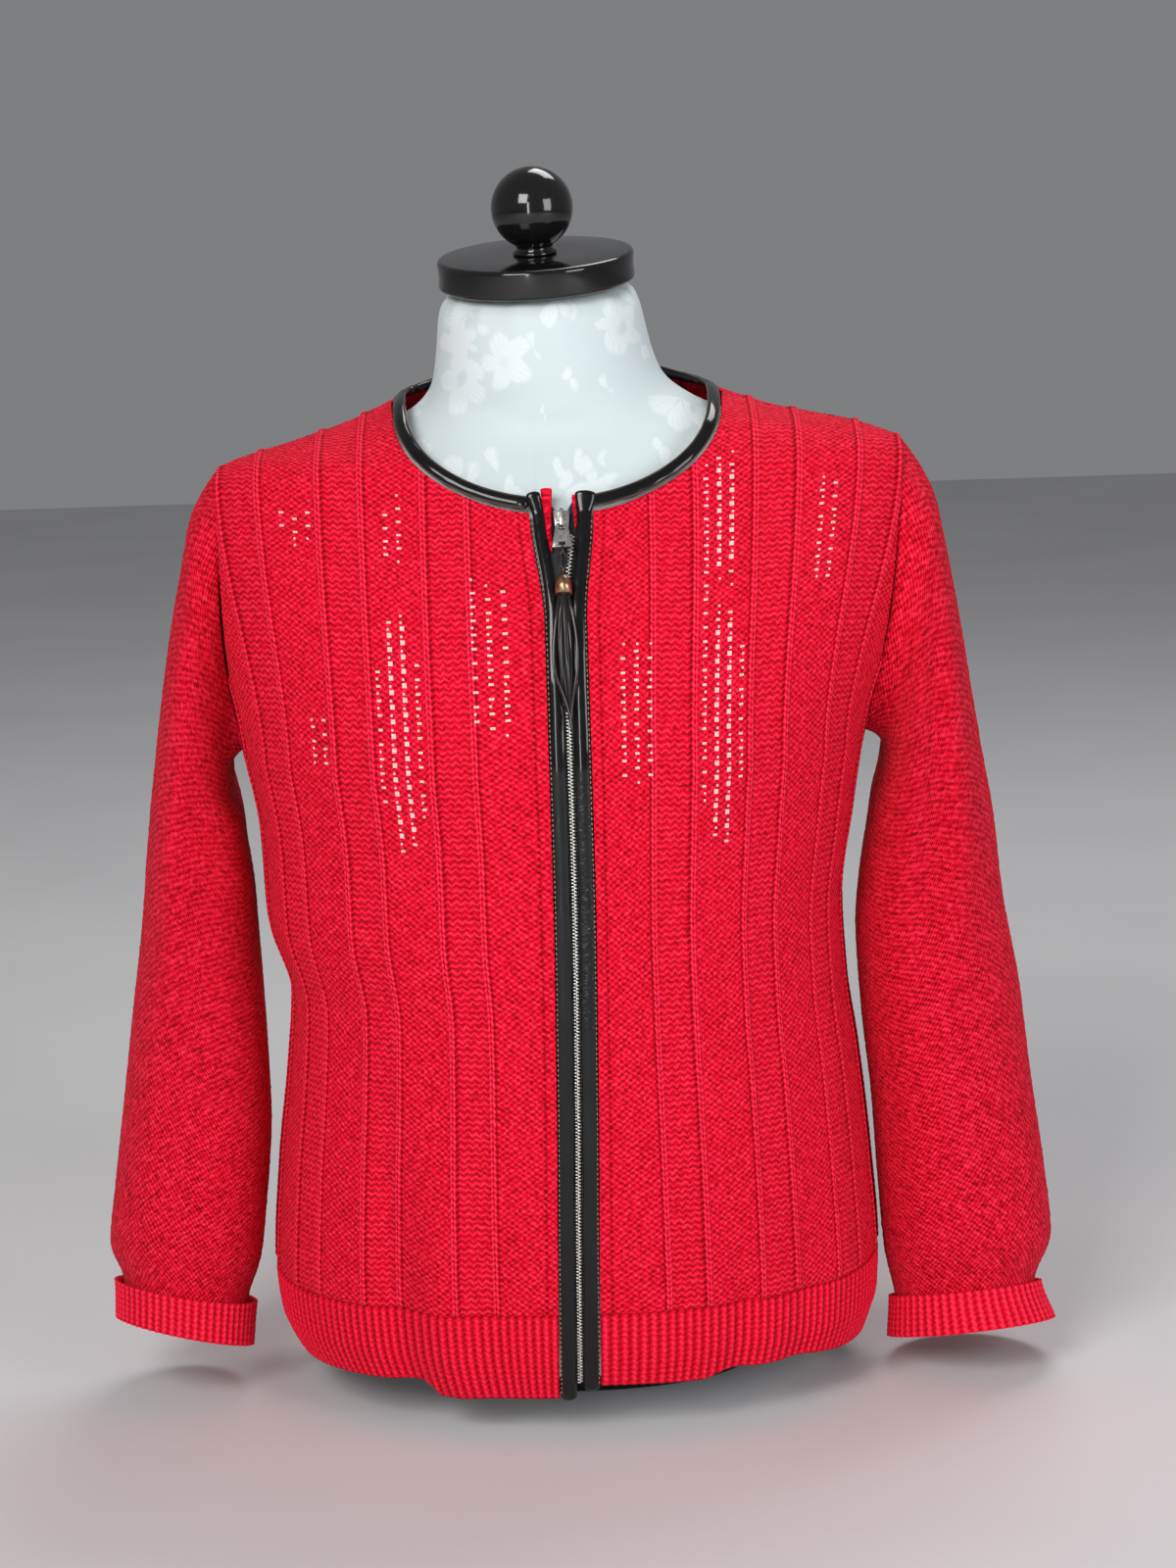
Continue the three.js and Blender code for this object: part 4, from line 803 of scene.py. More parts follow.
# side, band start, columns of eyelets in it, z from and to, how open they are
EYELETS = [
    (-1, 73, (1, 2), 335, 485, 1.0),
    (-1, 73, (0, 3), 350, 465, 0.55),
    (-1, 73, (1, 2), 490, 548, 0.5),
    (1, 73, (1, 2), 335, 485, 1.0),
    (1, 73, (1, 2), 480, 566, 0.95),
    (1, 73, (0,), 360, 560, 0.6),
    (1, 73, (3,), 360, 470, 0.5),
    (1, 12, (2, 3, 4), 372, 470, 0.62),
    (-1, 12, (2, 3, 4), 395, 505, 0.5),
    (-1, 129, (0, 1), 372, 435, 0.45),
    (-1, 129, (0, 1, 2), 500, 548, 0.5),
    (1, 129, (1, 2), 470, 552, 0.55),
    (1, 185, (0, 1), 505, 545, 0.4),
]
CHANCE = rng.random((8, 200))  # one draw for each eyelet column and course


def eyelet_cells(side, s_edges, z, t):
    """Which cells of a front panel are eyelets; `z` and `t` are of the cells' middles."""
    marked = np.zeros(z.shape, bool)
    course = np.clip((t / COURSE).astype(int), 0, CHANCE.shape[1] - 1)
    row_in_course = (t % COURSE) / ROW
    band_width = {start: wide for start, wide, kind in bands() if kind == "moss"}
    for zone_side, start, columns, low, high, openness in EYELETS:
        if zone_side != side:
            continue
        cell = band_width[start] / wales(band_width[start]) / 3
        fade = openness * ease(z, low, low + 25) * (1 - ease(z, high - 25, high))
        for k in columns:
            from_column = (s_edges[:-1] + s_edges[1:])[None, :] / 2 - (start + 3 * cell * (1 + 2 * k))
            big = (course + k) % 2 == 0
            full = big & (fade > 0.7)
            wide = (from_column > -cell * (big & (fade > 0.35))) & (from_column < cell)
            tall = (row_in_course > 1) & (row_in_course < np.where(full, 3, 2))
            marked |= wide & tall & (fade > np.where(big, 0.3, 0.62) * (0.4 + CHANCE[k, course]))
    return marked


# ---------------------------------------------------------------- knitted panels


def rows_by_length(side, face, q, low_z, row):
    """Heights of evenly spaced rows up each column, by length of cloth, ending at its top."""
    top = column_top(side, face, q) - SEAM_GAP * 0.6
    share = 1 - (1 - np.linspace(0, 1, 160)) ** 2
    levels = mix(low_z, top[None, :], share[:, None])
    points = torso_point(side, face, q[None, :] + 0 * levels, levels)
    length = np.linalg.norm(np.diff(points, axis=0), axis=-1).cumsum(axis=0)
    length = np.concatenate([np.zeros((1, len(q))), length])
    count = int(length[-1].max() / row) + 2
    wanted = np.arange(count) * row
    z = np.stack([np.interp(wanted, length[:, i], levels[:, i]) for i in range(len(q))], axis=1)
    along = np.minimum(wanted[:, None], length[-1][None, :])
    return z, along


def on_ridge(side, face, q, z, points):
    """Brings the top points of the shoulder onto its ridge."""
    x = top_x(q)
    ridge = ridge_z(side, x)
    at_ridge = (q <= TIP_Q) & (x >= NECK_HALF) & (z > ridge - 0.6)
    y = (-1 if face == "front" else 1) * SEAM_GAP * 0.6
    return np.where(at_ridge[..., None], stack(side * x, y, ridge), points)


def follow_zip(side, s, z, points):
    """Moves the first band of a front sideways so that its edge follows the zip."""
    share = np.clip((KNIT_START + FIRST_MOSS - s) / FIRST_MOSS, 0, 1)
    at_start = column_x(side, "front", np.full_like(z, KNIT_START / QUARTER), z)
    moved = points.copy()
    moved[..., 0] += side * (front_edge_x(side, z) - at_start) * share
    return moved


DOTTED_ROW = 18.3  # s of the row of dark dents beside the zip
EYELET_SINKS = -0.4


def curl(distance, reach=2.4, depth=0.8):
    """How far cloth turns in at an edge, by distance from it."""
    return -depth * (1 - ease(distance, 0, reach))


def half_panel(side, face, start, moss_share=1.0, row=ROW):
    """Points, map, shade, moss share and eyelets of a quarter, from its middle to a side seam."""
    s = panel_columns(start, moss_share)
    q = np.minimum(s / QUARTER, SIDE_SEAM_Q)
    z, t = rows_by_length(side, face, q, HEM_BAND_TOP_Z + SEAM_GAP, row)
    s_grid = s[None, :] + 0 * z
    q_grid = q[None, :] + 0 * z
    points = torso_point(side, face, q_grid, z)
    out = torso_out(side, face, q_grid, z)
    points = on_ridge(side, face, q_grid, z, points)
    if face == "front":
        points = follow_zip(side, s_grid, z, points)
    left_above = t.max(axis=0)[None, :] - t
    relief, shade, moss = panel_relief(s_grid, t)
    near_edge = np.minimum(np.minimum(left_above, t), QUARTER - s_grid)
    relief = relief * ease(near_edge, -1, 3) + curl(near_edge)
    marked = None
    if face == "front":
        middle_z = (z[1:, 1:] + z[:-1, :-1]) / 2
        middle_t = (t[1:, 1:] + t[:-1, :-1]) / 2
        marked = eyelet_cells(side, s, middle_z, middle_t)
        beside_zip = (np.abs(s_grid - DOTTED_ROW) < 0.7) & ((t / COURSE) % 1 < 0.34)
        # the dents are painted dark, a painted shade in them, as well as sunk
        shade = np.where(beside_zip, -0.9, shade)
        relief = np.where(beside_zip, relief - 0.4, relief)
        sunk = np.zeros_like(relief, bool)
        for dr in (0, 1):
            for dc in (0, 1):
                sunk[dr : dr + marked.shape[0], dc : dc + marked.shape[1]] |= marked
        relief = np.where(sunk, np.minimum(relief, EYELET_SINKS), relief)
    uv = np.stack([s_grid * side, t], -1)
    return points + out * relief[..., None], uv, shade, moss, marked


def front_panel(name, side):
    points, uv, shade, moss, marked = half_panel(side, "front", KNIT_START)
    bm = grid_bmesh(points, uv, {"relief": shade, "moss": moss}, inward=side < 0, marked=marked)
    return finished(name, bm, [panel_knit, eyelet_painted_light], name.replace("_panel", ""))


def pad_rows(grid, rows):
    """Repeats a grid's top row until it has that many rows."""
    extra = rows - grid.shape[0]
    return np.concatenate([grid, np.repeat(grid[-1:], extra, axis=0)]) if extra else grid


def back_panel(name):
    halves = [half_panel(side, "back", 0, 1 / 2, 1.5 * ROW)[:4] for side in (-1, 1)]
    rows = max(half[0].shape[0] for half in halves)
    right, left = [[pad_rows(grid, rows) for grid in half] for half in halves]
    points, uv, shade, moss = [np.concatenate([a[:, :0:-1], b], axis=1) for a, b in zip(right, left)]
    bm = grid_bmesh(points, uv, {"relief": shade, "moss": moss}, inward=True)
    return finished(name, bm, [panel_knit], "back")


# ---------------------------------------------------------------- ribbed hem

RIB_PITCH = 5.0
HEM_CELL = 1.0
DEEPEST_SHADE = -1.2
# heights over the hem's edge and depths behind its face, for the rows inside its fold
HEM_INSIDE_Z = np.array([8.0, 5.0, 2.5, 0.6])
HEM_INSIDE_DEPTH = -KNIT_WALL * np.array([1, 1, 1, 0.75])
# heights over the band's top and depths for the two rows tucked behind the panel above
HEM_TUCK_Z = np.array([0.6, 3.0])
HEM_TUCK_DEPTH = np.array([-1.6, -2.4])


def rib_relief(place, t, course=COURSE):
    """Knit ribs with slanting stitches; `place` counts ribs."""
    share = place % 1
    ridge = np.sin(math.pi * np.clip((share - 0.12) / 0.76, 0, 1)) ** 0.8
    stitch = np.cos(2 * math.pi * (t / course + 1.3 * np.abs(share - 0.5)))
    return 1.3 * ridge - 0.7 + 0.12 * stitch * ridge


def hem_half(side, face, start, cells):
    s = np.linspace(start, QUARTER, cells + 1)
    q = np.minimum(s / QUARTER, SIDE_SEAM_Q)
    lift = smooth_table(*zip(*HEM_LIFT[side]))(q) if face == "front" else 0 * q
    low = HEM_Z + lift
    high = HEM_BAND_TOP_Z - SEAM_GAP / 2
    rows = int((high - HEM_Z) / ROW)
    share = np.linspace(0, 1, rows + 1)[:, None]
    z = mix(low[None, :], high, share)
    # the edge is folded inside, so the rows that run down its inner side come first
    inside = low[None, :] + HEM_INSIDE_Z[:, None]
    tucked = high + HEM_TUCK_Z[:, None] + 0 * low[None, :]
    z = np.concatenate([inside, z, tucked])
    q_grid = q[None, :] + 0 * z
    s_grid = s[None, :] + 0 * z
    points = torso_point(side, face, q_grid, z)
    out = torso_out(side, face, q_grid, z)
    if face == "front":
        points = follow_zip(side, s_grid, z, points)
    relief = rib_relief((s_grid - start) / RIB_PITCH, z) + rng.normal(0, 0.05, z.shape)
    relief = relief * ease(z, low[None, :] - 2, low[None, :] + 3)
    relief = relief * ease(QUARTER - s_grid, -1, 3) + curl(QUARTER - s_grid)
    relief += curl(high - z, 1.5, 0.3)
    relief[-2:] = HEM_TUCK_DEPTH[:, None]
    relief[:4] = HEM_INSIDE_DEPTH[:, None]
    relief[4] -= 0.3
    uv = np.stack([s_grid * side, z], -1)
    return points + out * relief[..., None], uv, relief


def rib_band(name, points, uv, relief, inward):
    # the relief also sets the colour: painted shade between the ribs, darkest on the rows turned in at the
    # edges
    bm = grid_bmesh(points, uv, {"relief": np.maximum(relief, DEEPEST_SHADE)}, inward=inward)
    return finished(name, bm, [rib_knit], name.replace("_band", ""))


def hem_front(name, side):
    cells = round((QUARTER - KNIT_START) / HEM_CELL)
    points, uv, relief = hem_half(side, "front", KNIT_START, cells)
    return rib_band(name, points, uv, relief, side < 0)


def hem_back(name):
    cells = round(QUARTER / HEM_CELL)
    right, left = [hem_half(side, "back", 0, cells) for side in (-1, 1)]
    points, uv, relief = [np.concatenate([a[:, :0:-1], b], axis=1) for a, b in zip(right, left)]
    return rib_band(name, points, uv, relief, True)


# ---------------------------------------------------------------- sleeves and cuffs

SLEEVE = {
    side: [smooth_table(range(LAST_RING + 1), column) for column in zip(*rows)]
    for side, rows in SLEEVE_ROWS.items()
}


def crease(side, angle, ring):
    total = 0 * (angle + ring)
    for crease_side, at, lean, start, end, width, depth in CREASES:
        if crease_side == side:
            along = (ring - start) / (end - start)
            strength = ease(along, 0, 0.25) * (1 - ease(along, 0.6, 1))
            off = (angle - at - lean * along + 540) % 360 - 180
            total = total + depth * strength * bell(off, width)
    return total


def sleeve_point(side, angle, ring, more=0.0):
    """A point of a sleeve's outer surface, `ring` counted down from the armhole."""
    outer_x, outer_z, inner_x, inner_z, deep, y, rise = [column(ring) for column in SLEEVE[side]]
    across_x = (outer_x - inner_x) / 2
    across_z = (outer_z - inner_z) / 2
    turn = np.radians(angle)
    grow = crease(side, angle, ring) + more
    reach = np.cos(turn) * (1 + grow / np.hypot(across_x, across_z))
    x = (outer_x + inner_x) / 2 + across_x * reach
    z = (outer_z + inner_z) / 2 + across_z * reach + rise * np.sin(turn)
    return stack(side * x, y - (deep + grow) * np.sin(turn), z)


def armhole_loop(side, angles):
    """Points of the armhole at angles round the sleeve, set off from it by a seam."""
    q = np.minimum(np.linspace(TIP_Q + 1e-4, 1, 90), SIDE_SEAM_Q)
    loop = []
    for face in ("front", "back"):
        z = column_top(side, face, q) - SEAM_GAP * 0.6
        loop.append(torso_point(side, face, q, z))
    points = np.concatenate([loop[0], loop[1][-2:0:-1]])
    points[0] = (side * TIP_X, 0, ridge_z(side, TIP_X) - SEAM_GAP * 0.6)
    lengths = np.linalg.norm(np.roll(points, -1, axis=0) - points, axis=-1)
    under = len(q) - 1
    reach = np.concatenate([[0], lengths.cumsum()])
    at = np.where(
        np.arange(len(points) + 1) <= under,
        180 * reach / reach[under],
        180 + 180 * (reach - reach[under]) / (reach[-1] - reach[under]),
    )
    closed = np.concatenate([points, points[:1]])
    return np.stack([np.interp(angles, at, closed[:, k]) for k in range(3)], -1)


SLEEVE_WALES = 88  # columns of stitches round the sleeve, each two cells wide
SLEEVE_WALE = 4.4
SLEEVE_ROW = 1.65
HEAD_GAP = 1.1
# two rows turned in at the armhole: how far up and how deep they lie
HEAD_TUCK_UP = np.array([1.6, 4.0])[:, None, None]
HEAD_TUCK_DEPTH = np.array([1.1, 2.2])[:, None, None]


def sleeve(name, side):
    """Cloth from the cuff to the armhole, whose first rings bend in to the seam."""
    cells = 2 * SLEEVE_WALES
    angles = np.linspace(0, 360, cells + 1)
    head = armhole_loop(side, angles)
    away = unit(sleeve_point(side, angles, 0.3 + 0 * angles) - head)
    head = head + away * HEAD_GAP
    first = sleeve_point(side, angles, 0 * angles)
    half = sleeve_point(side, angles, 0.5 + 0 * angles)
    bend = np.linspace(0, 1, 12)[:, None, None]
    start = (1 - bend) ** 2 * head + 2 * bend * (1 - bend) * first + bend**2 * half
    rings = np.linspace(0.5, LAST_RING, 170)[1:, None] + 0 * angles[None, :]
    path = np.concatenate([start, sleeve_point(side, angles[None, :] + 0 * rings, rings)])
    length = np.linalg.norm(np.diff(path, axis=0), axis=-1).cumsum(axis=0)
    length = np.concatenate([np.zeros((1, cells + 1)), length])
    rows = int(length[-1].mean() / SLEEVE_ROW / 2) * 2
    share = np.linspace(0, 1, rows + 1)
    points = np.empty((rows + 1, cells + 1, 3))
    for i in range(cells + 1):
        for k in range(3):
            points[:, i, k] = np.interp(share * length[-1, i], length[:, i], path[:, i, k])
    points = points[::-1]
    out = grid_out(points, around=True) * -side
    under = points[-1:] - away * HEAD_TUCK_UP - out[-1:] * HEAD_TUCK_DEPTH
    points = np.concatenate([points, under])
    out = np.concatenate([out, out[-1:], out[-1:]])
    rows += 2
    t = np.arange(rows + 1)[:, None] * SLEEVE_ROW + 0 * angles[None, :]
    relief = rng.normal(0, 0.13, t.shape)
    shade = rng.normal(0, 0.36, t.shape)
    relief[:, -1] = relief[:, 0]
    shade[:, -1] = shade[:, 0]
    rows_from_top = np.arange(rows + 1)[::-1][:, None] + 0 * t
    relief = relief * ease(rows_from_top, 1, 4) - 0.3 * (rows_from_top < 3)
    points = points + out * relief[..., None]
    uv = np.stack([angles[None, :] / 360 * SLEEVE_WALES * SLEEVE_WALE + 0 * t, t], -1)
    bm = grid_bmesh(points, uv, {"relief": shade}, inward=side > 0)
    return finished(name, bm, [sleeve_knit], name.replace("_knit", ""))


CUFF_DEPTH = 24
CUFF_WALL = 2.4
CUFF_CLEAR = 0.5
CUFF_RIBS = 56
CUFF_ROWS = 20
CUFF_FLARE = {-1: (2.2, 0.8), 1: (0.3, 5)}  # how far the top and the fold stand out


def cuff(name, side):
    """The turned-back cuff, with its fold below and its edge above."""
    rows = SLEEVE_ROWS[side]
    up = CUFF_DEPTH / (rows[-2][1] - rows[-1][1])
    top, fold = CUFF_FLARE[side]
    wide = CUFF_CLEAR + CUFF_WALL
    share = np.linspace(0, 1, CUFF_ROWS)
    # rows inside the fold, rows up the face and rows down behind the upper edge
    ups = np.concatenate([
        [0.25 * up, 0.02, -0.04, -0.065],
        mix(-0.05, up, share),
        [up, up * 0.97, up * 0.8],
    ])
    outs = np.concatenate([
        [0.4, 0.5, 0.45 * (wide + fold), 0.85 * (wide + fold)],
        mix(wide + fold, wide + top, share),
        [CUFF_CLEAR + top + 1.1, CUFF_CLEAR + top, CUFF_CLEAR + 0.8 * top],
    ])
    cells = CUFF_RIBS * CELLS["rib"]
    angles = np.linspace(0, 360, cells + 1)
    z = ups[:, None] + 0 * angles[None, :]
    ribbed = np.concatenate([[0, 0, 0.3, 0.8], np.ones(CUFF_ROWS), [0.7, 0.2, 0]])[:, None]
    relief = (rib_relief(angles[None, :] / 360 * CUFF_RIBS, z / up * CUFF_DEPTH, 3.4) + 0.2) * ribbed
    points = sleeve_point(side, angles[None, :] + 0 * z, LAST_RING - z, outs[:, None] + relief)
    uv = np.stack([angles[None, :] / 360 * CUFF_RIBS * RIB_PITCH + 0 * z, z / up * CUFF_DEPTH], -1)
    # the relief also sets the colour: painted shade between the ribs
    bm = grid_bmesh(points, uv, {"relief": relief}, inward=side > 0)
    return finished(name, bm, [rib_knit], name.replace("_rib", ""))


panels = {
    "front_right": front_panel("front_right_panel", -1),
    "front_left": front_panel("front_left_panel", 1),
    "back": back_panel("back_panel"),
    "hem_right": hem_front("hem_right_band", -1),
    "hem_left": hem_front("hem_left_band", 1),
    "hem_back": hem_back("hem_back_band"),
    "sleeve_right": sleeve("sleeve_right_knit", -1),
    "sleeve_left": sleeve("sleeve_left_knit", 1),
    "cuff_right": cuff("cuff_right_rib", -1),
    "cuff_left": cuff("cuff_left_rib", 1),
}

# ---------------------------------------------------------------- leather edges


def zip_line(side, off, lift, z):
    """Points up a line beside the zip, `off` from its middle and `lift` in front of the knit."""
    x = zip_x(z) + side * (off + ZIP_OPEN_BY * ease(z, ZIP_OPENS_Z, FRONT_NECK_Z))
    above = np.maximum(0, z - FRONT_NECK_Z)
    level = z - above
    depth = depth_at(side, "front", np.abs(x), level)
    slope = (depth_at(side, "front", np.abs(x), level - 4) - depth) / 4
    out = unit(stack(0 * x, -1 + 0 * x, slope))
    return stack(x, -depth + 0.2 * above, z) + out * np.broadcast_to(lift, z.shape)[..., None]


ZIP_OUT = unit(np.array([0, -1, 0.3]))
FACING_OFF = ZIP_EDGE - SEAM_GAP - 4.5
FACING_WIDE = 9.2
FACING_THICK = 5.2
FACING_LOW = {-1: HEM_Z - 1, 1: HEM_Z + 5}
FACING_TOP = FRONT_NECK_Z + 12


def facing(name, side):
    """The padded leather strip on a front's edge, with its end standing up at the neck."""
    z = np.linspace(FACING_LOW[side] + 2.5, FACING_TOP - 2, 320)
    path = zip_line(side, FACING_OFF, -0.4, z)
    twist = ease(z, 440, 500) if side < 0 else 0.4 * ease(z, 470, 510)
    flare = ease(z, 526, 537) * (1.6 if side < 0 else 3.4)
    # the strip narrows where the zip opens, and its end flares
    width = FACING_WIDE - 2.8 * twist + 0.25 * np.sin(z / 9) + flare
    thick = FACING_THICK + 0.3 * np.sin(z / 13 + 1) - 0.6 * twist - 0.35 * flare
    path[:, 0] += side * (2.8 if side < 0 else 1.2) * ease(z, 524, 540)
    rings = swept(path, ZIP_OUT[None, :] + 0 * path, width, thick, sides=28, square=2.3)
    look = wrinkled_leather if side > 0 else leather
    return swept_object(name, [rings], look, name.replace("_roll", ""))


BINDING_UP = 4.8
BINDING_BACK = 0.5
BINDING_WIDE = 7.4
BINDING_THICK = 5.0


def neck_path():
    """Points and outward directions round the neckline, from the right zip edge to the left."""
    def half(side):
        front_x = NECK_HALF * np.sin(np.linspace(math.asin(20 / NECK_HALF), math.pi / 2, 60))
        back_x = NECK_HALF * np.sin(np.linspace(math.pi / 2, 0, 60)[1:])
        points = []
        outs = []
        for face, x in (("front", front_x), ("back", back_x)):
            q = x / TIP_X * TIP_Q
            z = neck_z(face, x)
            points.append(torso_point(side, face, q, z))
            outs.append(torso_out(side, face, q, z - 1))
        points = np.concatenate(points)
        outs = np.concatenate(outs)
        # the direction turns over the shoulder's top within a few points
        top = len(front_x) - 1
        outs[top] = (side * 0.3, 0, 1)
        for _ in range(10):
            smooth = (np.roll(outs, 1, axis=0) + outs + np.roll(outs, -1, axis=0)) / 3
            outs[1:-1] = smooth[1:-1]
        return points, unit(outs)

    right, left = half(-1), half(1)
    points = np.concatenate([right[0], left[0][-2::-1]])
    outs = np.concatenate([right[1], left[1][-2::-1]])
    for _ in range(6):
        points[1:-1] = (points[:-2] + 2 * points[1:-1] + points[2:]) / 4
    ahead = np.gradient(points, axis=0)
    up = unit(np.cross(ahead, outs))
    return points + up * BINDING_UP - outs * BINDING_BACK, outs, up


def neck_binding(name):
    """The rolled binding, with a thin brown edge on both its sides."""
    path, outs, up = neck_path()
    steps = np.arange(len(path))
    ripple = 0.35 * np.sin(steps * 0.9) + 0.25 * np.sin(steps * 0.37)
    rings = swept(path, outs, BINDING_WIDE + ripple, BINDING_THICK + 0.4 * ripple, sides=24, square=2.2)
    swept_object(name, [rings], leather, "neck_binding")
    edges = []
    for reach in (3.3, -3.5):
        edges.append(swept(path + up * reach + outs * 1.25, outs, 0.9, 0.8, sides=6))
    swept_object("neck_edge_piping", edges, brown_edge)


STITCH_PITCH = 2.9
STITCH_LONG = 1.5
STITCH_WIDE = 0.62


def stitch_row(name, points, along, outs, material):
    """Small rounded stitches, each six-sided and pointed at its ends."""
    whole = bmesh.new()
    for p, a, o in zip(points, along, outs):
        across = np.cross(a, o)
        rings = []
        for share, size in ((-0.5, 0.3), (-0.2, 1), (0.2, 1), (0.5, 0.3)):
            turn = np.arange(6) * math.pi / 3
            ring = p + a * STITCH_LONG * share + STITCH_WIDE / 2 * size * (
                np.cos(turn)[:, None] * across + 0.7 * np.sin(turn)[:, None] * o)
            rings.append([whole.verts.new(q * MM) for q in ring])
        for low, high in zip(rings, rings[1:]):
            for k in range(6):
                whole.faces.new((low[k], low[(k + 1) % 6], high[(k + 1) % 6], high[k]))
        whole.faces.new(rings[0][::-1])
        whole.faces.new(rings[-1])
    bmesh.ops.recalc_face_normals(whole, faces=whole.faces[:])
    return finished(name, whole, [material])


def facing_stitches():
    for side, name in ((-1, "stitches_right"), (1, "stitches_left")):
        z = np.arange(FACING_LOW[side] + 6, FRONT_NECK_Z - 4, STITCH_PITCH)
        points = zip_line(side, FACING_OFF + 4.15, 1.15, z)
        along = unit(np.gradient(points, axis=0))
        outs = unit(np.cross(np.cross(along, ZIP_OUT + 0 * along), along))
        stitch_row(name, points, along, outs, beige_thread)


facing("zip_facing_right_roll", -1)
facing("zip_facing_left_roll", 1)
neck_binding("neck_binding_roll")
facing_stitches()

# ---------------------------------------------------------------- the zip

TAPE_THICK = 0.85
TAPE_LIFT = -0.4 - 2.5 - 1.4 * SEAM_GAP - 0.45
TAPE_TOP = 531
SLIDER_Z = 523.5
TOOTH_PITCH = 0.95
TOOTH_SIZE = (2.3, 1.15, 1.6)
TOOTH_OFF = 0.72  # from the zip's middle, to both sides in turn


def zip_tape(name, side):
    z = np.linspace(HEM_Z + 8.5, TAPE_TOP + 6, 160)
    open_by = ZIP_OPEN_BY * ease(z, ZIP_OPENS_Z, FRONT_NECK_Z)
    inner = SEAM_GAP / 2 + 0.55 * np.maximum(z - SLIDER_Z, 0)
    outer = 9 + open_by - 0.25 * np.maximum(z - SLIDER_Z, 0)
    path = zip_line(side, (inner + outer) / 2 - open_by, TAPE_LIFT, z)
    rings = swept(path, ZIP_OUT[None, :] + 0 * path, outer - inner, TAPE_THICK, sides=16, square=6)
    return swept_object(name, [rings], tape, name.replace("_woven", ""))


def zip_teeth(name):
    """Steel teeth that mesh from both sides."""
    z = np.arange(HEM_Z + 9.5, SLIDER_Z - 7, TOOTH_PITCH)
    middle = zip_line(1, 0, TAPE_LIFT + 0.45 + 0.9 + 1.5 * SEAM_GAP, z)
    along = unit(np.gradient(middle, axis=0))
    whole = bmesh.new()
    for i, (p, a) in enumerate(zip(middle, along)):
        side = 1 if i % 2 else -1
        across = np.array([1.0, 0, 0])
        out = np.cross(a, across) * -1
        made = bmesh.ops.create_cube(whole, size=1)["verts"]
        bevel = bmesh.ops.bevel(
            whole, geom=list({e for v in made for e in v.link_edges}), offset=0.16, offset_type="OFFSET",
            segments=1, profile=0.5, affect="EDGES", clamp_overlap=True, material=-1)
        verts = {v for f in bevel["faces"] for v in f.verts} | {v for v in made if v.is_valid}
        for v in verts:
            wide, high, deep = np.array(v.co) * TOOTH_SIZE
            v.co = (p + across * (side * TOOTH_OFF + wide) + a * high + out * deep) * MM
    bmesh.ops.recalc_face_normals(whole, faces=whole.faces[:])
    return finished(name, whole, [steel], "zip_chain")


FLAT_WITHIN = math.radians(3)


def merged_copy(name, node, material, body, width, angle=40):
    """A CAD node's mesh with its triangles joined up and a finish of its own.

    Edges sharper than `angle` are rounded to `width`, if there is one.
    """
    bm = bmesh.new()
    bm.from_mesh(bpy.data.objects[node].data)
    bmesh.ops.remove_doubles(bm, verts=bm.verts[:], dist=1e-6)
    bmesh.ops.dissolve_limit(
        bm, angle_limit=FLAT_WITHIN, verts=bm.verts[:], edges=bm.edges[:], use_dissolve_boundaries=False)
    sharp = [e for e in bm.edges if e.is_manifold and e.calc_face_angle(0) > math.radians(angle)]
    if width:
        bmesh.ops.bevel(
            bm, geom=sharp, offset=width * MM, offset_type="OFFSET", segments=2, profile=0.5,
            affect="EDGES", clamp_overlap=True, material=-1)
    bmesh.ops.triangulate(bm, faces=[f for f in bm.faces if len(f.verts) > 4])
    bmesh.ops.recalc_face_normals(bm, faces=bm.faces[:])
    return finished(name, bm, [material], node, body)


zip_tape("zip_tape_right_woven", -1)
zip_tape("zip_tape_left_woven", 1)
zip_teeth("zip_teeth")
merged_copy("slider_polished", "zip_slider", steel, "garment", 0.35)
merged_copy("pull_polished", "zip_pull", steel, "pull", 0.22)
merged_copy("tassel_loop_cord", "tassel_loop", strip_leather, "pull", 0)
merged_copy("bell_polished", "tassel_bell", brass, "pull", 0, 60)


def knit_flaps():
    """The knit's raw edges that show beside the slider."""
    parts = []
    for side, low, high, wide in ((-1, 508, 541, 6.4), (1, 520, 537, 3.4)):
        z = np.linspace(low, high, 30)
        path = zip_line(side, 1.9, -0.9, z)
        taper = np.sqrt(np.clip((z - low + 1) / (high - low), 0, 1)) * wide
        parts.append(swept(path, ZIP_OUT[None, :] + 0 * path, np.maximum(taper, 0.5), 1.6, sides=8))
    made = swept_object("knit_flaps", parts, rib_knit)
    relief = made.data.attributes.new("relief", "FLOAT", "POINT")
    relief.data.foreach_set("value", rng.uniform(-1.1, 0.7, len(made.data.vertices)))


knit_flaps()

# ---------------------------------------------------------------- tassel

TASSEL_AT = np.array([1.21, -117.37, 489.30])
TASSEL_LEAN = math.radians(-26.3)
TASSEL_HEAD = (1.2, -2.8)  # z of its ends, from the place it hangs at
TASSEL_HEAD_WIDE = 5.6


def hung(points):
    """Turns points about the tassel's head, from hanging straight to lying along the chest."""
    c, s = math.cos(TASSEL_LEAN), math.sin(TASSEL_LEAN)
    y = points[..., 1] * c - points[..., 2] * s
    z = points[..., 1] * s + points[..., 2] * c
    return stack(points[..., 0], y, z) + TASSEL_AT


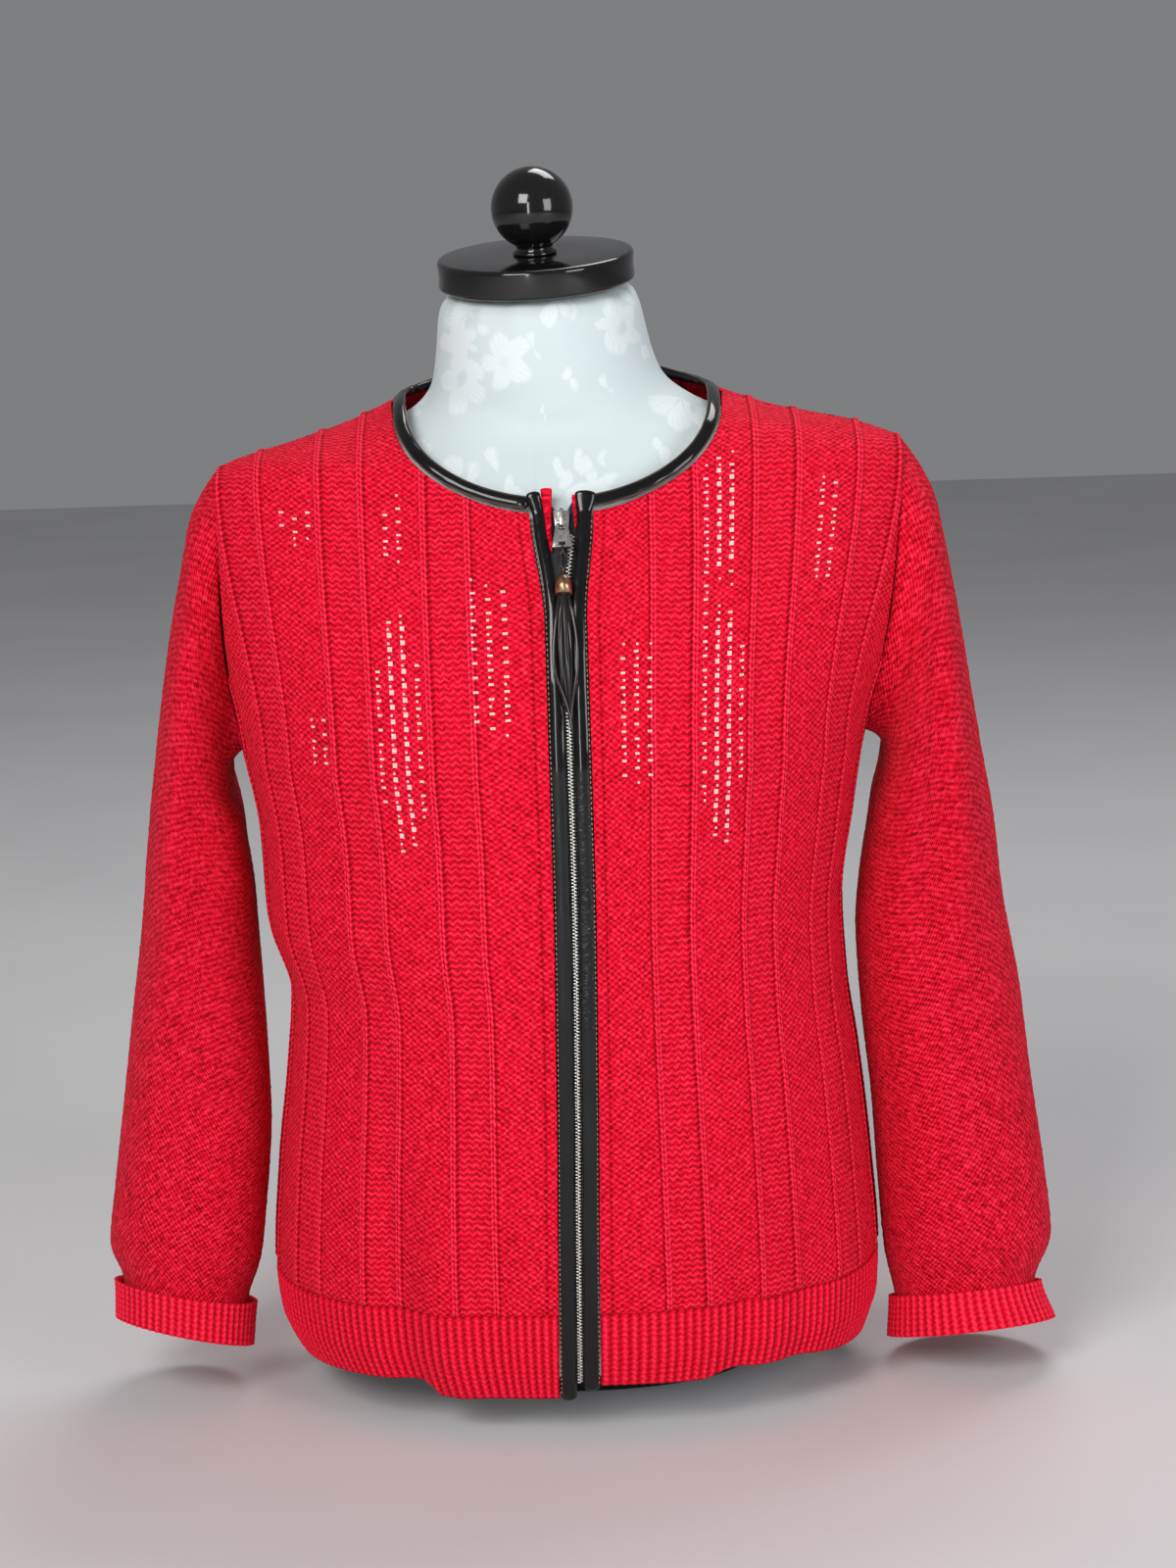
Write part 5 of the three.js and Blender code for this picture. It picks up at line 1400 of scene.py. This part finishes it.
def tassel(name):
    """Leather strips from one head: the outer two bow apart and meet again low down."""
    parts = []
    # share across, bow, length, width, side to side drift of the tip, in front or behind
    strips = [
        (-1.0, 6.4, 81, 2.0, 2.6, -1.2),
        (1.0, 6.0, 78, 1.9, 1.2, -1.0),
        (-0.45, 2.6, 66, 2.5, -0.5, 0.2),
        (0.1, 0.8, 74, 2.7, 0.8, -0.3),
        (0.5, 2.2, 63, 2.4, 0.6, 0.9),
        (-0.15, 1.2, 69, 2.2, 0.2, 1.4),
    ]
    t = np.linspace(0, 1, 40)
    for share, bow, length, width, drift, front in strips:
        below = np.clip((t - 0.06) / 0.94, 0, 1)
        x = share * 2.2 + np.sign(share) * bow * 0.78 * np.sin(math.pi * below) ** 1.15 * (1 - 0.2 * below)
        x = x * (1 - 0.75 * ease(t, 0.6, 1) * (abs(share) == 1)) + drift * ease(t, 0.5, 1)
        y = front * ease(t, 0, 0.2) + 12 * t * t - 1.2 * np.sin(math.pi * t)
        path = hung(stack(x, y, 1.5 - length * t))
        outs = hung(stack(x + 0.35 * np.sin(5 * t + 3 * share), y - 1, 1.5 - length * t)) - path
        parts.append(swept(path, outs, width * (1 - 0.2 * t), 1.0, sides=10, square=3))
    head_t = np.linspace(*TASSEL_HEAD, 8)
    head = hung(stack(0 * head_t, 0 * head_t, head_t))
    outs = hung(stack(0 * head_t, 0 * head_t - 1, head_t)) - head
    parts.append(swept(head, outs, TASSEL_HEAD_WIDE, TASSEL_HEAD_WIDE, sides=16))
    return swept_object(name, parts, strip_leather, "tassel", "pull")


tassel("tassel_strips")

# ---------------------------------------------------------------- the dress form

CAP_TIP = Euler((math.radians(9), math.radians(-2), 0))
NECK_TOP = Vector((-9, 0, 652))


def form_body(name):
    bm = bmesh.new()
    bm.from_mesh(bpy.data.objects["form_body"].data)
    bmesh.ops.remove_doubles(bm, verts=bm.verts[:], dist=1e-6)
    bmesh.ops.join_triangles(
        bm, faces=bm.faces[:], angle_face_threshold=math.radians(60),
        angle_shape_threshold=math.radians(80), cmp_seam=False, cmp_sharp=False, cmp_uvs=False,
        cmp_vcols=False, cmp_materials=False)
    bmesh.ops.recalc_face_normals(bm, faces=bm.faces[:])
    made = finished(name, bm, [cover], "form_body")
    smooth = made.modifiers.new("smooth", "SUBSURF")
    smooth.levels = 2
    smooth.render_levels = 2
    return made


def turned_piece(name, outline, steps, place, replaced, scale=(1, 1)):
    """A round piece about +Z, spun from its side's outline and then placed."""
    bm = bmesh.new()
    verts = [bm.verts.new((r, 0, z)) for r, z in outline]
    edges = [bm.edges.new(pair) for pair in zip(verts, verts[1:])]
    bmesh.ops.spin(
        bm, geom=verts + edges, cent=(0, 0, 0), axis=(0, 0, 1), dvec=(0, 0, 0), angle=2 * math.pi,
        steps=steps, use_merge=True)
    bmesh.ops.remove_doubles(bm, verts=bm.verts[:], dist=1e-4)
    bmesh.ops.recalc_face_normals(bm, faces=bm.faces[:])
    for v in bm.verts:
        v.co = place @ Vector((v.co.x * scale[0], v.co.y * scale[1], v.co.z)) * MM
    return finished(name, bm, [gloss], replaced)


def on_neck(up):
    turn = CAP_TIP.to_matrix().to_4x4()
    return Matrix.Translation(NECK_TOP + CAP_TIP.to_matrix() @ Vector((0, 0, up))) @ turn


def rounded(corner, radius, start, end, steps=6):
    """Points of a round corner about its centre, between two angles in degrees."""
    return [
        (corner[0] + radius * math.cos(math.radians(a)), corner[1] + radius * math.sin(math.radians(a)))
        for a in np.linspace(start, end, steps)
    ]


CAP_THICK = 17
FOOT_HALF = (98, 52)


def cap_outline(radius=56.8, thick=CAP_THICK, edge=2.4):
    low = rounded((radius - edge, edge), edge, -90, 0)
    high = rounded((radius - edge, thick - edge), edge, 0, 90)
    step = [(0, 0), (radius - 2 * edge, 0)]
    return step + low + [(radius - 0.5, thick * 0.5)] + high + [(radius * 0.5, thick), (0, thick)]


def ball_outline(radius=23.6, stem_radius=11, stem=5):
    low = math.asin(stem_radius / radius)
    arc = [
        (radius * math.sin(turn), stem + radius * (math.cos(low) - math.cos(turn)))
        for turn in np.linspace(low, math.pi, 28)
    ]
    steps = [(1.5, 0), (1.8, 0.8), (1.2, 1.8), (-0.8, 3)]
    collar = [(0, 0)] + [(stem_radius + more, z) for more, z in steps]
    return collar + arc[:-1] + [(0, stem + radius * (math.cos(low) + 1))]


def foot_outline(high=15.65, edge=3):
    """Half an outline one wide, to be stretched to the foot's oval."""
    inner = 1 - edge / FOOT_HALF[0]
    middle = 1 - edge / 400
    low = [(0, 0), (inner, 0), (middle, edge * 0.3), (1, edge)]
    return low + [(x, high - z) for x, z in low[::-1]]


form_body("form_body_cover")
turned_piece("form_cap_turned", cap_outline(), 96, on_neck(SEAM_GAP), "form_cap")
turned_piece("form_ball_turned", ball_outline(), 64, on_neck(CAP_THICK + 2 * SEAM_GAP), "form_ball")
turned_piece("form_foot_turned", foot_outline(), 96, Matrix.Identity(4), "form_foot", FOOT_HALF)


# ---------------------------------------------------------------- floor and light


def add_stage():
    bm = bmesh.new()
    bmesh.ops.create_grid(bm, x_segments=2, y_segments=2, size=6)
    mesh = bpy.data.meshes.new("floor")
    bm.to_mesh(mesh)
    bm.free()
    floor = bpy.data.objects.new("floor", mesh)
    bpy.context.collection.objects.link(floor)
    look = Looks("pale_floor")
    mottle = look.noise(3, 2, 0.5)
    color = look.ramp(mottle, [(0.3, (0.62, 0.62, 0.63)), (0.7, (0.66, 0.66, 0.67))])
    mesh.materials.append(look.set(Base_Color=color, Roughness=0.9))


def add_light(name, place, aim, size, power, color=(1, 1, 1)):
    data = bpy.data.lights.new(name, "AREA")
    data.shape = "RECTANGLE"
    data.size, data.size_y = size
    data.energy = power
    data.color = color
    light = bpy.data.objects.new(name, data)
    light.location = place
    light.rotation_euler = (Vector(aim) - Vector(place)).to_track_quat("-Z", "Y").to_euler()
    bpy.context.collection.objects.link(light)


def add_world():
    world = bpy.data.worlds.new("studio")
    world.use_nodes = True
    world.node_tree.nodes["Background"].inputs["Color"].default_value = (0.8, 0.81, 0.83, 1)
    world.node_tree.nodes["Background"].inputs["Strength"].default_value = 0.26
    bpy.context.scene.world = world


add_stage()
add_world()
add_light("key", (-1.1, -2.3, 1.9), (0, 0, 0.36), (1.2, 1.2), 51, (1, 0.98, 0.96))
add_light("fill", (1.9, -1.9, 1.0), (0, 0, 0.3), (1.0, 1.4), 29, (0.96, 0.98, 1))
add_light("front_strip", (-0.45, -2.6, 0.6), (0, 0, 0.3), (0.16, 1.6), 12)
add_light("back", (0.6, 1.2, 2.6), (0, 0, 0.4), (1.4, 1.0), 26)

scene = bpy.context.scene
scene.view_settings.view_transform = "Standard"
